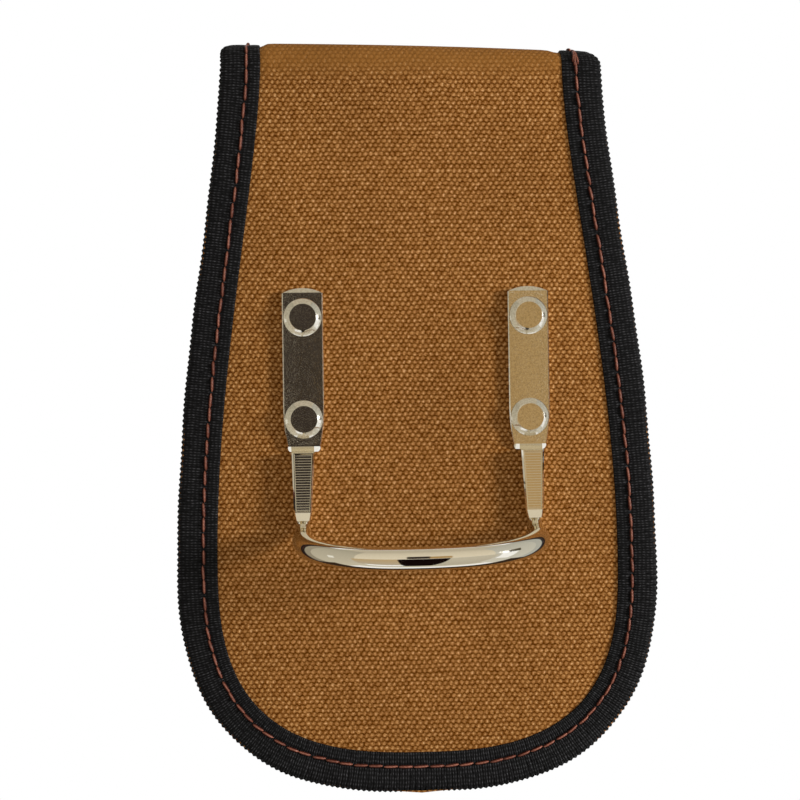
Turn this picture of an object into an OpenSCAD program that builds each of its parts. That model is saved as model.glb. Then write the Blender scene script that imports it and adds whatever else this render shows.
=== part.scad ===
// Hammer holder for a work belt.
// One strip of canvas and lining is folded over at the top. The long front part
// is stiffened by a board, the short part behind it is the flap, and the space
// between them under the fold is the belt tunnel. A webbing tape binds every
// edge. Four cap rivets clamp the steel hammer loop, the front and the flap.
//
// Upright, +Z up. The front faces -Y and +X is on the viewer's right. The origin
// is the middle of the belt tunnel.

/* [Front panel] */
// Width across the widest part
panel_w = 140; // [136:1:150]
// Width across the fold at the top
top_w = 111.6; // [108:0.2:116]
// Height from the fold down to the widest part
widest_drop = 150; // [146:1:160]
// Height of the round end, below the widest part
end_h = 67; // [60:1:75]
// Squareness of the round end, where 2 is an ellipse
end_power = 2.62; // [2.2:0.02:2.8]
// Radius of the corners at the fold, seen from the front
corner_r = 5; // [3:0.5:6]
// Length over which the side stays straight below the fold
side_ease_top = 27; // [20:1:35]
// Length over which the side stays straight above the widest part
side_ease_low = 58; // [50:1:65]

/* [Belt tunnel] */
// Height of the widest belt that goes through
belt_h = 50; // [45:1:52]
// Inner radius of the fold, at the lining
fold_r = 4.6; // [4:0.1:5.5]
// Bare canvas between the rivets on the flap and the tape beside them
flap_margin = 4.4; // [1:0.2:6]
// Radius of the two bends that bring the flap to the front panel
flap_bend_r = 15; // [12:1:20]
// Steepest slope of the flap between the bends, in degrees from upright
flap_slope = 35; // [30:1:45]

/* [Cloth and board] */
// Thickness of the outer canvas
canvas_t = 0.9; // [0.7:0.1:1.1]
// Thickness of the lining
lining_t = 0.5; // [0.3:0.1:0.7]
// Thickness of the stiffener board
board_t = 1.2; // [0.8:0.1:1.5]
// Distance from the fold down to the board's upper edge
board_drop = 14; // [12:1:18]
// Distance from the panel's bound edge to the board's edge
board_inset = 3; // [2:0.5:5]

/* [Binding tape] */
// Thickness of the tape
tape_t = 0.8; // [0.6:0.05:1]
// Width that the folded tape covers on each face
tape_w = 11.8; // [11:0.1:12]
// Distance of the stitch line from the bound edge
seam_inset = 7.7; // [6:0.1:9]
// Length of one stitch with its space
stitch_pitch = 3.6; // [3:0.1:4.5]
// Length of thread that lies on the tape in one stitch
stitch_l = 2.7; // [2:0.1:2.9]
// Width of the thread
thread_w = 0.65; // [0.5:0.05:0.8]
// Height of the thread above the tape
thread_h = 0.35; // [0.2:0.05:0.5]

/* [Hammer loop] */
// Diameter of the steel rod
rod_d = 5.5; // [5:0.1:6]
// Diameter of the rod where it leaves the end block
rod_root_d = 4.6; // [4.2:0.1:4.7]
// Distance between the two rods where they leave the panel, centre to centre
loop_span = 67.4; // [64:0.2:70]
// Radius of the loop's two corners, seen from above
loop_corner_r = 31.3; // [26:0.1:31.5]
// Half angle of the loop's flatter front bar
loop_front_angle = 10; // [6:1:16]
// Angle by which the loop dips towards the front
loop_dip = 10; // [5:1:15]
// Radius of the bend where the rod turns away from the panel
rod_bend_r = 5.5; // [5:0.1:8]
// Thickness of the flattened plates
plate_t = 2.2; // [1.8:0.1:2.6]
// Width of the plates
plate_w = 12; // [11:0.1:13]
// Width of the plates at their foot
plate_foot_w = 9; // [8:0.1:10]
// Length of the plate above the upper rivet
plate_head = 8.7; // [8:0.1:10]
// Length of the plate below the lower rivet
plate_foot = 9.1; // [8:0.1:10]
// Height of the plate's curved upper edge
plate_crown = 1.6; // [1:0.1:2]
// Chamfer along the plate's front edges
plate_chamfer = 0.8; // [0.4:0.1:1]
// Width of the neck under the plate
neck_w = 6.2; // [5.6:0.1:7]
// Width of the neck at its lower end
neck_low_w = 4.8; // [4.4:0.1:5.4]
// Length of the neck with its end block
neck_l = 20; // [18:0.5:24]
// Length of the end block
block_l = 3.4; // [2.5:0.1:4.5]
// Depth of the end block in front of the canvas
block_t = 4.9; // [4.4:0.1:5.4]

/* [Rivets] */
// Distance between the left and right rivets
rivet_span = 65.6; // [62:0.2:67]
// Distance between the upper and lower rivets
rivet_pitch = 29.5; // [26:0.5:32]
// Distance from the fold down to the upper rivets
rivet_drop = 79; // [77:0.5:84]
// Diameter of the front cap
cap_d = 11; // [10:0.1:11.4]
// Diameter of the front cap's flat top
cap_flat_d = 7.7; // [7:0.1:8.4]
// Height of the front cap
cap_h = 1.9; // [1.6:0.1:2.4]
// Depth of the dish in the flat top
cap_dish = 0.2; // [0.1:0.05:0.3]
// Diameter of the cap on the flap
back_cap_d = 10; // [9.6:0.1:10.4]
// Height of the cap on the flap
back_cap_h = 1.3; // [1.2:0.1:1.6]
// Diameter of the socket tube through the layers
tube_d = 4.8; // [4.4:0.1:5.2]
// Diameter of the post inside the tube
post_d = 3.2; // [2.8:0.1:3.4]
// Diameter of the flanges that the caps are crimped on
flange_d = 8.2; // [7.6:0.1:8.4]
// Thickness of the flanges
flange_t = 0.7; // [0.5:0.1:0.9]
// Radial clearance of the tube in its holes and of the post in the tube
rivet_fit = 0.05; // [0.02:0.01:0.1]

/* [Hidden] */
$fn = 48;
ROWS = ["upper", "lower"];
SIDES = ["left", "right"];
RIVET_PIECES = ["rivet_cap", "rivet_socket", "rivet_post", "rivet_back_cap"];

// Room over the belt inside the fold, and under it above the flap's bend
belt_room = 1;
// Space between the lower caps and the tape under them
cap_gap = 0.8;
// Steps in the side curve, in the round end and in each bend
side_steps = 18;
end_steps = 30;
bend_steps = 8;
corner_steps = 4;
// Steps along each bend of the rod, along half its front bar and around it
rod_steps = 6;
front_steps = 2;
rod_sides = 16;
// Slope length over which the lining comes forward above the board
board_ramp = 6;
// Thickness of stock that is longer than any cut
through = 60;

// The cloth path is the inner face of the canvas, which is also the lining's
// outer face wherever there is no board between them.
path_r = fold_r + lining_t;
fold_y = -board_t / 2;
top_z = belt_h / 2 + belt_room + lining_t + canvas_t + 2 * tape_t;
fold_z = top_z - path_r - canvas_t - tape_t;
front_y = fold_y - path_r;
canvas_face = front_y - canvas_t;
lining_back = front_y + board_t + lining_t;
end_z = top_z - widest_drop;
board_top = top_z - board_drop;

rivet_x = rivet_span / 2;
upper_z = top_z - rivet_drop;
lower_z = upper_z - rivet_pitch;

// Flap: two bends bring it from the fold's back to the front panel, where its
// tape lies behind the panel's tape with room for the threads on both.
seam_room = 2 * thread_h;
flap_y = lining_back + tape_t + seam_room + tape_t + lining_t;
flap_shift = fold_y + path_r - flap_y;
flap_angle = min(flap_slope, acos(1 - min(1, flap_shift / (2 * flap_bend_r))));
flap_straight = max(0, (flap_shift - 2 * flap_bend_r * (1 - cos(flap_angle))) / sin(flap_angle));
contact_z = upper_z + cap_d / 2;
bend_z = contact_z + 2 * flap_bend_r * sin(flap_angle) + flap_straight * cos(flap_angle);
flap_back = flap_y + canvas_t;
flap_hw = rivet_x + back_cap_d / 2 + flap_margin + tape_w;
flap_end = lower_z - back_cap_d / 2 - cap_gap - tape_w;

loop_x = loop_span / 2;
plate_face = canvas_face - plate_t;
plate_top = upper_z + plate_head;
foot_z = lower_z - plate_foot;
block_z = foot_z - neck_l;
rod_y = canvas_face - rod_root_d / 2;
front_r = (loop_x - loop_corner_r * (1 - sin(loop_front_angle))) / sin(loop_front_angle);

// ---- outlines seen from the front, as [x, z] points -------------------------

function reversed(list) = [for (i = [len(list) - 1 : -1 : 0]) list[i]];
function both_sides(right) = concat(right, reversed([for (p = right) [-p[0], p[1]]]));

// Cubic side curve from the fold's corner to the widest part
function side_point(u) = let (
    a = [top_w / 2, top_z - corner_r],
    b = a - [0, side_ease_top],
    d = [panel_w / 2, end_z],
    c = d + [0, side_ease_low])
    pow(1 - u, 3) * a + 3 * u * pow(1 - u, 2) * b + 3 * u * u * (1 - u) * c + pow(u, 3) * d;
function side_normal(u) = let (
    step = 0.001,
    run = side_point(min(1, u + step)) - side_point(max(0, u - step)))
    [-run[1], run[0]] / norm(run);
function side_edge(inset) =
    [for (i = [0 : side_steps]) let (u = i / side_steps) side_point(u) - inset * side_normal(u)];

// Round end: a superellipse, walked by angle
function end_point(a) = let (
    wide = panel_w / 2,
    reach = pow(pow(cos(a) / wide, end_power) + pow(sin(a) / end_h, end_power), -1 / end_power))
    [reach * cos(a), -reach * sin(a)];
function end_normal(a) = let (
    p = end_point(a),
    n = [pow(p[0] / (panel_w / 2), end_power - 1) / (panel_w / 2),
         -pow(-p[1] / end_h, end_power - 1) / end_h])
    n / norm(n);
function end_edge(inset) =
    [for (i = [1 : end_steps - 1]) let (a = 90 * i / end_steps)
        [0, end_z] + end_point(a) - inset * end_normal(a)];

// Upper corner: rounded on an outer edge, run past the fold on an inner edge
function top_corner(inset) = inset < corner_r
    ? [for (i = [corner_steps : -1 : 1]) let (a = 90 * i / corner_steps)
        [top_w / 2 - corner_r, top_z - corner_r] + (corner_r - inset) * [cos(a), sin(a)]]
    : [[top_w / 2 - inset, top_z + corner_r]];

function tongue_right(inset) = concat(top_corner(inset), side_edge(inset), end_edge(inset));
function tongue(inset) = let (right = concat(tongue_right(inset), [[0, end_z - end_h + inset]]))
    concat(right, reversed([for (p = tongue_right(inset)) [-p[0], p[1]]]));

// Side of the flap: from the fold's corner to its own straight width
function flap_point(u) = let (
    a = [top_w / 2, top_z - corner_r],
    d = [flap_hw, contact_z],
    ease = (a[1] - d[1]) / 3)
    pow(1 - u, 3) * a + 3 * u * pow(1 - u, 2) * (a - [0, ease])
    + 3 * u * u * (1 - u) * (d + [0, ease]) + pow(u, 3) * d;
function flap_edge(inset, low) =
    concat([for (i = [0 : bend_steps]) flap_point(i / bend_steps) - [inset, 0]], [[flap_hw - inset, low]]);
function flap_table(inset) = [for (p = reversed(flap_edge(inset, flap_end))) [p[1], p[0]]];

// ---- cloth faces seen from the side, as [y, z] points -----------------------

// Front of the fold: from the fold's top down to its front tangent
function fold_front(d) = [for (i = [0 : bend_steps]) let (a = 90 + 90 * i / bend_steps)
    [fold_y, fold_z] + (path_r + d) * [cos(a), sin(a)]];
// Back of the fold: from the fold's top down to its back tangent
function fold_back(d) = [for (i = [0 : bend_steps]) let (a = 90 - 90 * i / bend_steps)
    [fold_y, fold_z] + (path_r + d) * [cos(a), sin(a)]];

// A face in front of the path, from the fold's top to the panel's low end
function front_outer(d) = concat(fold_front(d), [[front_y - d, end_z - end_h]]);
// A face behind the path, which steps back over the board
function front_inner(d) = concat(fold_front(-d), [
    [front_y + d, board_top + board_ramp],
    [front_y + board_t + d, board_top],
    [front_y + board_t + d, end_z - end_h]]);

// The flap's face at distance d behind its path, from the fold's top to its end
function flap_face(d) = concat(
    fold_back(d),
    [for (i = [0 : bend_steps]) let (a = flap_angle * i / bend_steps)
        [fold_y + path_r - flap_bend_r, bend_z] + (flap_bend_r + d) * [cos(a), -sin(a)]],
    [for (i = [0 : bend_steps]) let (a = flap_angle * (1 - i / bend_steps))
        [flap_y + flap_bend_r, contact_z] - (flap_bend_r - d) * [cos(a), -sin(a)]],
    [[flap_y + d, flap_end]]);

module along_x(points) rotate([90, 0, 90]) linear_extrude(height = 4 * through, center = true) polygon(points);
module along_y(points) rotate([90, 0, 0]) linear_extrude(height = through, center = true) polygon(points);

// A layer of the front part, between two side-view faces, cut to an outline
module front_layer(outer, inner, outline) {
    intersection() {
        along_x(concat(outer, reversed(inner)));
        along_y(outline);
    }
}

// A layer of the flap, likewise
module flap_layer(d_in, d_out, outline) {
    intersection() {
        along_x(concat(flap_face(d_out), reversed(flap_face(d_in))));
        along_y(outline);
    }
}

function flap_outline(inset) =
    both_sides(concat(top_corner(inset), flap_edge(inset, flap_end + min(inset, tape_t))));
function flap_window(inset) = both_sides(concat(top_corner(inset), flap_edge(inset, flap_end - tape_w)));

// One hole through all the layers at each rivet
module rivet_holes() {
    for (x = [-rivet_x, rivet_x], z = [upper_z, lower_z])
        translate([x, 0, z]) rotate([90, 0, 0])
            cylinder(d = tube_d + 2 * rivet_fit, h = through, center = true);
}

// ---- cloth pieces -----------------------------------------------------------

module outer_canvas() {
    color("#8f5d2a") difference() {
        union() {
            front_layer(front_outer(canvas_t), front_outer(0), tongue(tape_t));
            flap_layer(0, canvas_t, flap_outline(tape_t));
        }
        rivet_holes();
    }
}

module lining() {
    color("#26221f") difference() {
        union() {
            front_layer(front_inner(0), front_inner(lining_t), tongue(tape_t));
            flap_layer(-lining_t, 0, flap_outline(tape_t));
        }
        rivet_holes();
    }
}

module stiffener_board() {
    low = end_z - end_h;
    color("#3c3c3e") difference() {
        intersection() {
            along_x([[front_y, board_top], [front_y + board_t, board_top], [front_y + board_t, low], [front_y, low]]);
            along_y(tongue(board_inset));
        }
        rivet_holes();
    }
}

// The tape goes round the edge, so it is a full band less the layers inside it
module edge_binding() {
    cover = canvas_t + tape_t;
    under = lining_t + tape_t;
    color("#24201e") union() {
        difference() {
            front_layer(front_outer(cover), front_inner(under), tongue(0));
            along_y(tongue(tape_w));
            front_layer(front_outer(canvas_t), front_inner(lining_t), tongue(tape_t));
        }
        difference() {
            flap_layer(-under, cover, flap_outline(0));
            along_y(flap_window(tape_w));
            flap_layer(-lining_t, canvas_t, flap_outline(tape_t));
        }
    }
}

module flap_end_binding() {
    cover = canvas_t + tape_t;
    under = lining_t + tape_t;
    edge = flap_end + tape_w;
    color("#24201e") difference() {
        flap_layer(-under, cover, both_sides([[flap_hw - tape_w, edge], [flap_hw - tape_w, flap_end]]));
        flap_layer(-lining_t, canvas_t, flap_outline(tape_t));
    }
}

// ---- threads ----------------------------------------------------------------

function lengths(points, i = 0, total = 0) = i == len(points) ? []
    : concat([total], lengths(points, i + 1, i + 1 < len(points) ? total + norm(points[i + 1] - points[i]) : total));
function at_length(points, s) = let (run = lengths(points))
    [for (axis = [0 : 2]) lookup(s, [for (i = [0 : len(points) - 1]) [run[i], points[i][axis]]])];

// One stitch that lies on a face, from its middle, direction and face normal
module stitch(middle, along, out) {
    across = cross(out, along);
    multmatrix([
        [along[0], across[0], out[0], middle[0]],
        [along[1], across[1], out[1], middle[1]],
        [along[2], across[2], out[2], middle[2]],
        [0, 0, 0, 1]])
        translate([-stitch_l / 2, -thread_w / 2, 0]) cube([stitch_l, thread_w, thread_h]);
}

// A row of stitches along 3-D points. The face normal stays square to X.
module stitch_row(points, front = false, flip = 1) {
    total = lengths(points)[len(points) - 1];
    count = floor(total / stitch_pitch);
    for (i = [0 : count - 1]) {
        s = (i + 0.5) * total / count;
        run = at_length(points, s + stitch_l / 2) - at_length(points, s - stitch_l / 2);
        along = run / norm(run);
        turn = [0, along[2], -along[1]];
        out = front ? [0, -1, 0] : turn / norm(turn);
        level = along - (along * out) * out;
        middle = (at_length(points, s + stitch_l / 2) + at_length(points, s - stitch_l / 2)) / 2;
        stitch(middle, level / norm(level), flip * out);
    }
}

// Seam line over the flap and the fold at distance d from the path
function flap_seam(d) = let (table = flap_table(seam_inset)) [for (p = reversed(flap_face(d)))
    [p[1] > top_z - corner_r ? top_w / 2 - seam_inset : lookup(p[1], table), p[0], p[1]]];
function fold_seam(d) = [for (p = fold_front(d)) [top_w / 2 - seam_inset, p[0], p[1]]];
function tongue_seam(y) = let (
    line = concat([[top_w / 2 - seam_inset, fold_z]],
        [for (p = side_edge(seam_inset)) if (p[1] < fold_z) p], end_edge(seam_inset),
        [[0, end_z - end_h + seam_inset]]))
    [for (p = line) [p[0], y, p[1]]];

module thread_pair(d, y, flip) {
    for (side = [0, 1]) mirror([side, 0, 0]) {
        stitch_row(flap_seam(d), flip = flip);
        stitch_row(fold_seam(d), flip = flip);
        stitch_row(tongue_seam(y), front = true, flip = flip);
    }
}

module needle_thread() {
    color("#8a4a20") thread_pair(canvas_t + tape_t, canvas_face - tape_t, 1);
}

module bobbin_thread() {
    color("#8a4a20") thread_pair(-lining_t - tape_t, lining_back + tape_t, -1);
}

module end_row(y, flip) {
    z = flap_end + seam_inset;
    stitch_row([[tape_w - flap_hw, y, z], [flap_hw - tape_w, y, z]], front = true, flip = -flip);
}

module flap_end_needle_thread() {
    color("#8a4a20") end_row(flap_back + tape_t, 1);
}

module flap_end_bobbin_thread() {
    color("#8a4a20") end_row(flap_y - lining_t - tape_t, -1);
}

// ---- hammer loop ------------------------------------------------------------

// The rod's centre line on the right, from inside the end block to the middle of
// the front bar. Each entry is [point, an axis square to the rod, diameter].
function rod_leg() = [for (z = [block_z + block_l / 2, block_z]) [[loop_x, rod_y, z], [0, -1, 0], rod_root_d]];
function rod_bend() = [for (i = [1 : rod_steps]) let (a = (90 - loop_dip) * i / rod_steps)
    [[loop_x, rod_y - rod_bend_r * (1 - cos(a)), block_z - rod_bend_r * sin(a)],
     [0, -cos(a), sin(a)],
     rod_root_d + (rod_d - rod_root_d) * i / rod_steps]];
function loop_plane(x, reach) = let (start = rod_bend()[rod_steps - 1][0])
    [[x, start[1] - reach * cos(loop_dip), start[2] - reach * sin(loop_dip)],
     [0, -sin(loop_dip), cos(loop_dip)], rod_d];
function rod_corner() = [for (i = [1 : 2 * rod_steps]) let (a = (90 - loop_front_angle) * i / (2 * rod_steps))
    loop_plane(loop_x - loop_corner_r * (1 - cos(a)), loop_corner_r * sin(a))];
function rod_front() = [for (i = [1 : front_steps]) let (
    a = loop_front_angle * (1 - i / front_steps),
    corner_reach = loop_corner_r * cos(loop_front_angle))
    loop_plane(front_r * sin(a), corner_reach + front_r * (cos(a) - cos(loop_front_angle)))];
function rod_half() = concat(rod_leg(), rod_bend(), rod_corner(), rod_front());
function rod_line() = let (half = rod_half())
    concat(half, [for (i = [len(half) - 2 : -1 : 0])
        [[-half[i][0][0], half[i][0][1], half[i][0][2]], half[i][1], half[i][2]]]);

module rod() {
    line = rod_line();
    last = len(line) - 1;
    rings = [for (i = [0 : last]) let (
        run = line[min(last, i + 1)][0] - line[max(0, i - 1)][0],
        across = cross(line[i][1], run / norm(run)))
        for (k = [0 : rod_sides - 1]) let (a = 360 * k / rod_sides)
            line[i][0] + line[i][2] / 2 * (cos(a) * across / norm(across) + sin(a) * line[i][1])];
    walls = [for (i = [0 : last - 1], k = [0 : rod_sides - 1]) let (
        a = i * rod_sides + k, b = i * rod_sides + (k + 1) % rod_sides)
        [a, a + rod_sides, b + rod_sides, b]];
    start_cap = [for (k = [0 : rod_sides - 1]) k];
    end_cap = [for (k = [rod_sides - 1 : -1 : 0]) last * rod_sides + k];
    polyhedron(rings, concat(walls, [start_cap, end_cap]));
}

// Right leg's plate: front view, side view and plan are three prisms
module plate() {
    half = plate_w / 2;
    crown_r = (half * half + plate_crown * plate_crown) / (2 * plate_crown);
    crown_angle = asin(half / crown_r);
    crown = [for (i = [0 : corner_steps]) let (a = crown_angle * (1 - i / corner_steps))
        [crown_r * sin(crown_angle - a), plate_top - crown_r * (1 - cos(crown_angle - a))]];
    foot_edge = foot_z + (plate_w - plate_foot_w);
    intersection() {
        along_y(both_sides(concat([for (p = crown) if (p[0] > 0) p], [[half, foot_edge], [plate_foot_w / 2, foot_z]])));
        along_x([[canvas_face, plate_top], [plate_face + plate_chamfer, plate_top],
            [plate_face, plate_top - plate_crown - plate_chamfer],
            [plate_face, foot_z + plate_chamfer], [plate_face + plate_chamfer, foot_z], [canvas_face, foot_z]]);
        translate([0, 0, foot_z]) linear_extrude(height = plate_top - foot_z)
            polygon([[-half, canvas_face], [half, canvas_face], [half, plate_face + plate_chamfer],
                [half - plate_chamfer, plate_face], [plate_chamfer - half, plate_face],
                [-half, plate_face + plate_chamfer]]);
    }
}

// The neck thickens from the plate to the end block and splays to the rod
module neck() {
    splay = loop_x - rivet_x;
    lap = plate_chamfer + plate_crown;
    block_face = canvas_face - block_t;
    intersection() {
        along_y([[-neck_w / 2, foot_z + lap], [neck_w / 2, foot_z + lap],
            [splay + neck_low_w / 2, block_z], [splay - neck_low_w / 2, block_z]]);
        along_x([[canvas_face, foot_z + lap], [plate_face + plate_chamfer, foot_z + lap],
            [plate_face + plate_chamfer, foot_z], [block_face, block_z + block_l],
            [block_face, block_z], [canvas_face, block_z]]);
    }
}

module hammer_loop() {
    color("#b8b2a6") difference() {
        union() {
            for (side = [0, 1]) mirror([side, 0, 0]) translate([rivet_x, 0, 0]) {
                plate();
                neck();
            }
            rod();
        }
        rivet_holes();
    }
}

// ---- rivets -----------------------------------------------------------------

// Puts a rivet piece on its axis, with its own +Z towards the front
module at_rivet(row, side, y) {
    x = side == "left" ? -rivet_x : rivet_x;
    z = row == "upper" ? upper_z : lower_z;
    translate([x, y, z]) rotate([90, 0, 0]) children();
}

module rivet_cap() {
    color("#c4bba8") difference() {
        cylinder(d1 = cap_d, d2 = cap_flat_d, h = cap_h);
        translate([0, 0, cap_h - cap_dish]) cylinder(d = cap_flat_d - 2 * cap_dish, h = cap_h);
        translate([0, 0, -cap_h]) cylinder(d = flange_d + 2 * rivet_fit, h = cap_h + flange_t);
    }
}

module rivet_socket() {
    depth = flap_back - plate_face;
    color("#b8b2a6") difference() {
        union() {
            cylinder(d = flange_d, h = flange_t);
            translate([0, 0, rivet_fit - depth]) cylinder(d = tube_d, h = depth);
        }
        translate([0, 0, -2 * depth]) cylinder(d = post_d + 2 * rivet_fit, h = 2 * depth);
    }
}

module rivet_post() {
    depth = flap_back - plate_face;
    color("#b8b2a6") union() {
        translate([0, 0, -flange_t]) cylinder(d = flange_d, h = flange_t);
        translate([0, 0, -flange_t]) cylinder(d = post_d, h = depth + flange_t - rivet_fit);
    }
}

module rivet_back_cap() {
    color("#c4bba8") difference() {
        translate([0, 0, -back_cap_h]) cylinder(d1 = flange_d, d2 = back_cap_d, h = back_cap_h);
        translate([0, 0, -flange_t]) cylinder(d = flange_d + 2 * rivet_fit, h = back_cap_h);
    }
}

// ---- drawing ----------------------------------------------------------------

outer_canvas();
stiffener_board();
lining();
edge_binding();
flap_end_binding();
needle_thread();
bobbin_thread();
flap_end_needle_thread();
flap_end_bobbin_thread();
hammer_loop();
for (row = ROWS, side = SIDES) {
    at_rivet(row, side, plate_face) rivet_cap();
    at_rivet(row, side, plate_face) rivet_socket();
    at_rivet(row, side, flap_back) rivet_post();
    at_rivet(row, side, flap_back) rivet_back_cap();
}
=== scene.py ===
"""Looks of a canvas hammer holder: cloth, webbing, thread and nickel-plated steel
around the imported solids. Metres throughout; MM turns a millimetre into metres."""

import math
from functools import partial

import bmesh
import bpy
import numpy as np
from bpy.props import FloatProperty, FloatVectorProperty, IntProperty, PointerProperty
from bpy.types import Operator, Panel, PropertyGroup
from mathutils import Matrix, Vector


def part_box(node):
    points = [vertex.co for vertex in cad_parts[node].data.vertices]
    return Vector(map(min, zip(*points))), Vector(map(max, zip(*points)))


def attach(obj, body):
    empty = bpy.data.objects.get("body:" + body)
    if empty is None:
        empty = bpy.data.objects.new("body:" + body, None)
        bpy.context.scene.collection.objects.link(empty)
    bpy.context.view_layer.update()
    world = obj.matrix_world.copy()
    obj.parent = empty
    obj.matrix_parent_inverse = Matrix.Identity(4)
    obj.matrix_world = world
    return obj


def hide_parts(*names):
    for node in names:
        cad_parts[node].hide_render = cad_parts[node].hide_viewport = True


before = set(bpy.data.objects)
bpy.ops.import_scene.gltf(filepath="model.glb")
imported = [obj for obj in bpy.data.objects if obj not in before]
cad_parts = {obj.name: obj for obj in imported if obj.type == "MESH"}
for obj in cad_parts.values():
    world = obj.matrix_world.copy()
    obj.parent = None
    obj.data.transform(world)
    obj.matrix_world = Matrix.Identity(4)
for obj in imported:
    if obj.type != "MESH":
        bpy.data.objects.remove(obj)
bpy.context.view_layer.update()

bl_info = {
    "name": "Hammer Holder",
    "version": (1, 0, 0),
    "blender": (4, 5, 0),
    "location": "3D View > Sidebar > Holder",
    "description": "A canvas hammer holder with a bound edge and a riveted steel loop",
    "category": "Add Mesh",
}

MM = 0.001
EPS = 0.01 * MM

# ---- places read from the frame ---------------------------------------------

TAPE_LOW, TAPE_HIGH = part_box("edge_binding")
LINING_LOW, LINING_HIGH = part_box("lining")
BOARD_LOW, BOARD_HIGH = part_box("stiffener_board")
END_LOW, END_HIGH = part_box("flap_end_binding")
CAP_LOW, CAP_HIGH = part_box("rivet_cap_upper_right")
LOW_CAP_LOW, LOW_CAP_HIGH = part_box("rivet_cap_lower_right")
BACK_CAP_LOW, BACK_CAP_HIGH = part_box("rivet_back_cap_upper_right")
TUBE_LOW, TUBE_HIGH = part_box("rivet_post_upper_right")

TOP_Z, BOTTOM_Z = TAPE_HIGH.z, TAPE_LOW.z
PANEL_W = TAPE_HIGH.x - TAPE_LOW.x
CANVAS_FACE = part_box("outer_canvas")[0].y
TAPE_T = CANVAS_FACE - TAPE_LOW.y
CANVAS_T = LINING_LOW.y - CANVAS_FACE
BOARD_T = BOARD_HIGH.y - BOARD_LOW.y
LINING_T = END_HIGH.y - END_LOW.y - CANVAS_T - 2 * TAPE_T
# The path is the line between canvas and lining, seen from the side.
FRONT_Y = LINING_LOW.y
PATH_R = (LINING_HIGH.y - LINING_LOW.y) / 2
FOLD_Y = FRONT_Y + PATH_R
FOLD_Z = LINING_HIGH.z - PATH_R
FRONT_L = FOLD_Z - BOTTOM_Z
FOLD_L = math.pi * PATH_R
FLAP_Y = END_LOW.y + TAPE_T + LINING_T
FLAP_END = END_LOW.z
TAPE_W = END_HIGH.z - END_LOW.z
FLAP_HALF = END_HIGH.x + TAPE_W
RIVET_X = (CAP_LOW.x + CAP_HIGH.x) / 2
UPPER_Z = (CAP_LOW.z + CAP_HIGH.z) / 2
LOWER_Z = (LOW_CAP_LOW.z + LOW_CAP_HIGH.z) / 2
CAP_D = CAP_HIGH.x - CAP_LOW.x
PLATE_FACE, FLAP_BACK = CAP_HIGH.y, BACK_CAP_LOW.y
PLATE_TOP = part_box("hammer_loop")[1].z

# ---- fixed sizes ------------------------------------------------------------

CONTACT_Z = UPPER_Z + CAP_D / 2  # Where the flap meets the lining.
CORNER_Z = TOP_Z - 5 * MM  # Where the straight side ends under the fold.
CANVAS_INSET, CANVAS_PLAY = 0.8 * MM, 0.06 * MM  # Room to the tape's fold, and to the path.
LINING_INSET, LINING_PLAY = 0.9 * MM, 0.04 * MM
TAPE_STILL, RIVET_STILL = 14 * MM, 11 * MM  # How far tape and rivets hold the canvas down.
TAPE_WALL = (1.2 * MM, 0.9 * MM, 1.2 * MM)  # Insets of the tape's inner side at its folded edge.
TOOTH = 2.4  # How much further the ribs stand out at the folded edge.
SINK = 0.66  # Share of the tape's thickness at which the thread lies.
THREAD_SIDES, THREAD_RINGS, THREAD_END = 8, 7, 0.55
TACK_RISE = 1.6  # Height of the back-tack's threads, which lie on others.
ROD_Y = CANVAS_FACE - 2.45 * MM  # Middle of the rod where it leaves the block.
ROD_SIDES, BEND_STEPS, CORNER_STEPS, FRONT_STEPS = 32, 12, 22, 7
SQUARE_POWER, ROUNDING = 5, 0.2  # Squareness of the rod's root, and its loss at each step.
LEG_REACH = 20 * MM  # Way forward over which lean and flare set in.
HOLE_PLAY = 0.1 * MM
FOOT_ROUND = 1.1 * MM  # Bevel at the plate's two lower corners.
NECK_BEVEL, NECK_RIM, RIM_SLOPE = 0.5 * MM, 0.2 * MM, 0.15 * MM

# Data columns of a seam after the edge point, the way inwards and the normal.
CUT, BACK = 9, 10

# ---- settings ---------------------------------------------------------------


def linear(code):
    """Linear red, green and blue of an sRGB hex colour."""
    parts = [int(code[i : i + 2], 16) / 255 for i in (1, 3, 5)]
    return tuple(c / 12.92 if c <= 0.04045 else ((c + 0.055) / 1.055) ** 2.4 for c in parts)


def length(name, description, millimetres):
    """A length property."""
    return FloatProperty(
        name=name, description=description, default=millimetres * MM, unit="LENGTH", precision=5)


def angle(name, description, degrees):
    """An angle property."""
    return FloatProperty(
        name=name, description=description, default=math.radians(degrees), unit="ROTATION")


def number(name, description, default):
    """A property without a unit."""
    return FloatProperty(name=name, description=description, default=default, precision=4)


def tint(name, description, code):
    """A colour property."""
    return FloatVectorProperty(
        name=name, description=description, default=linear(code), size=3, subtype="COLOR", min=0, max=1)


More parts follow.
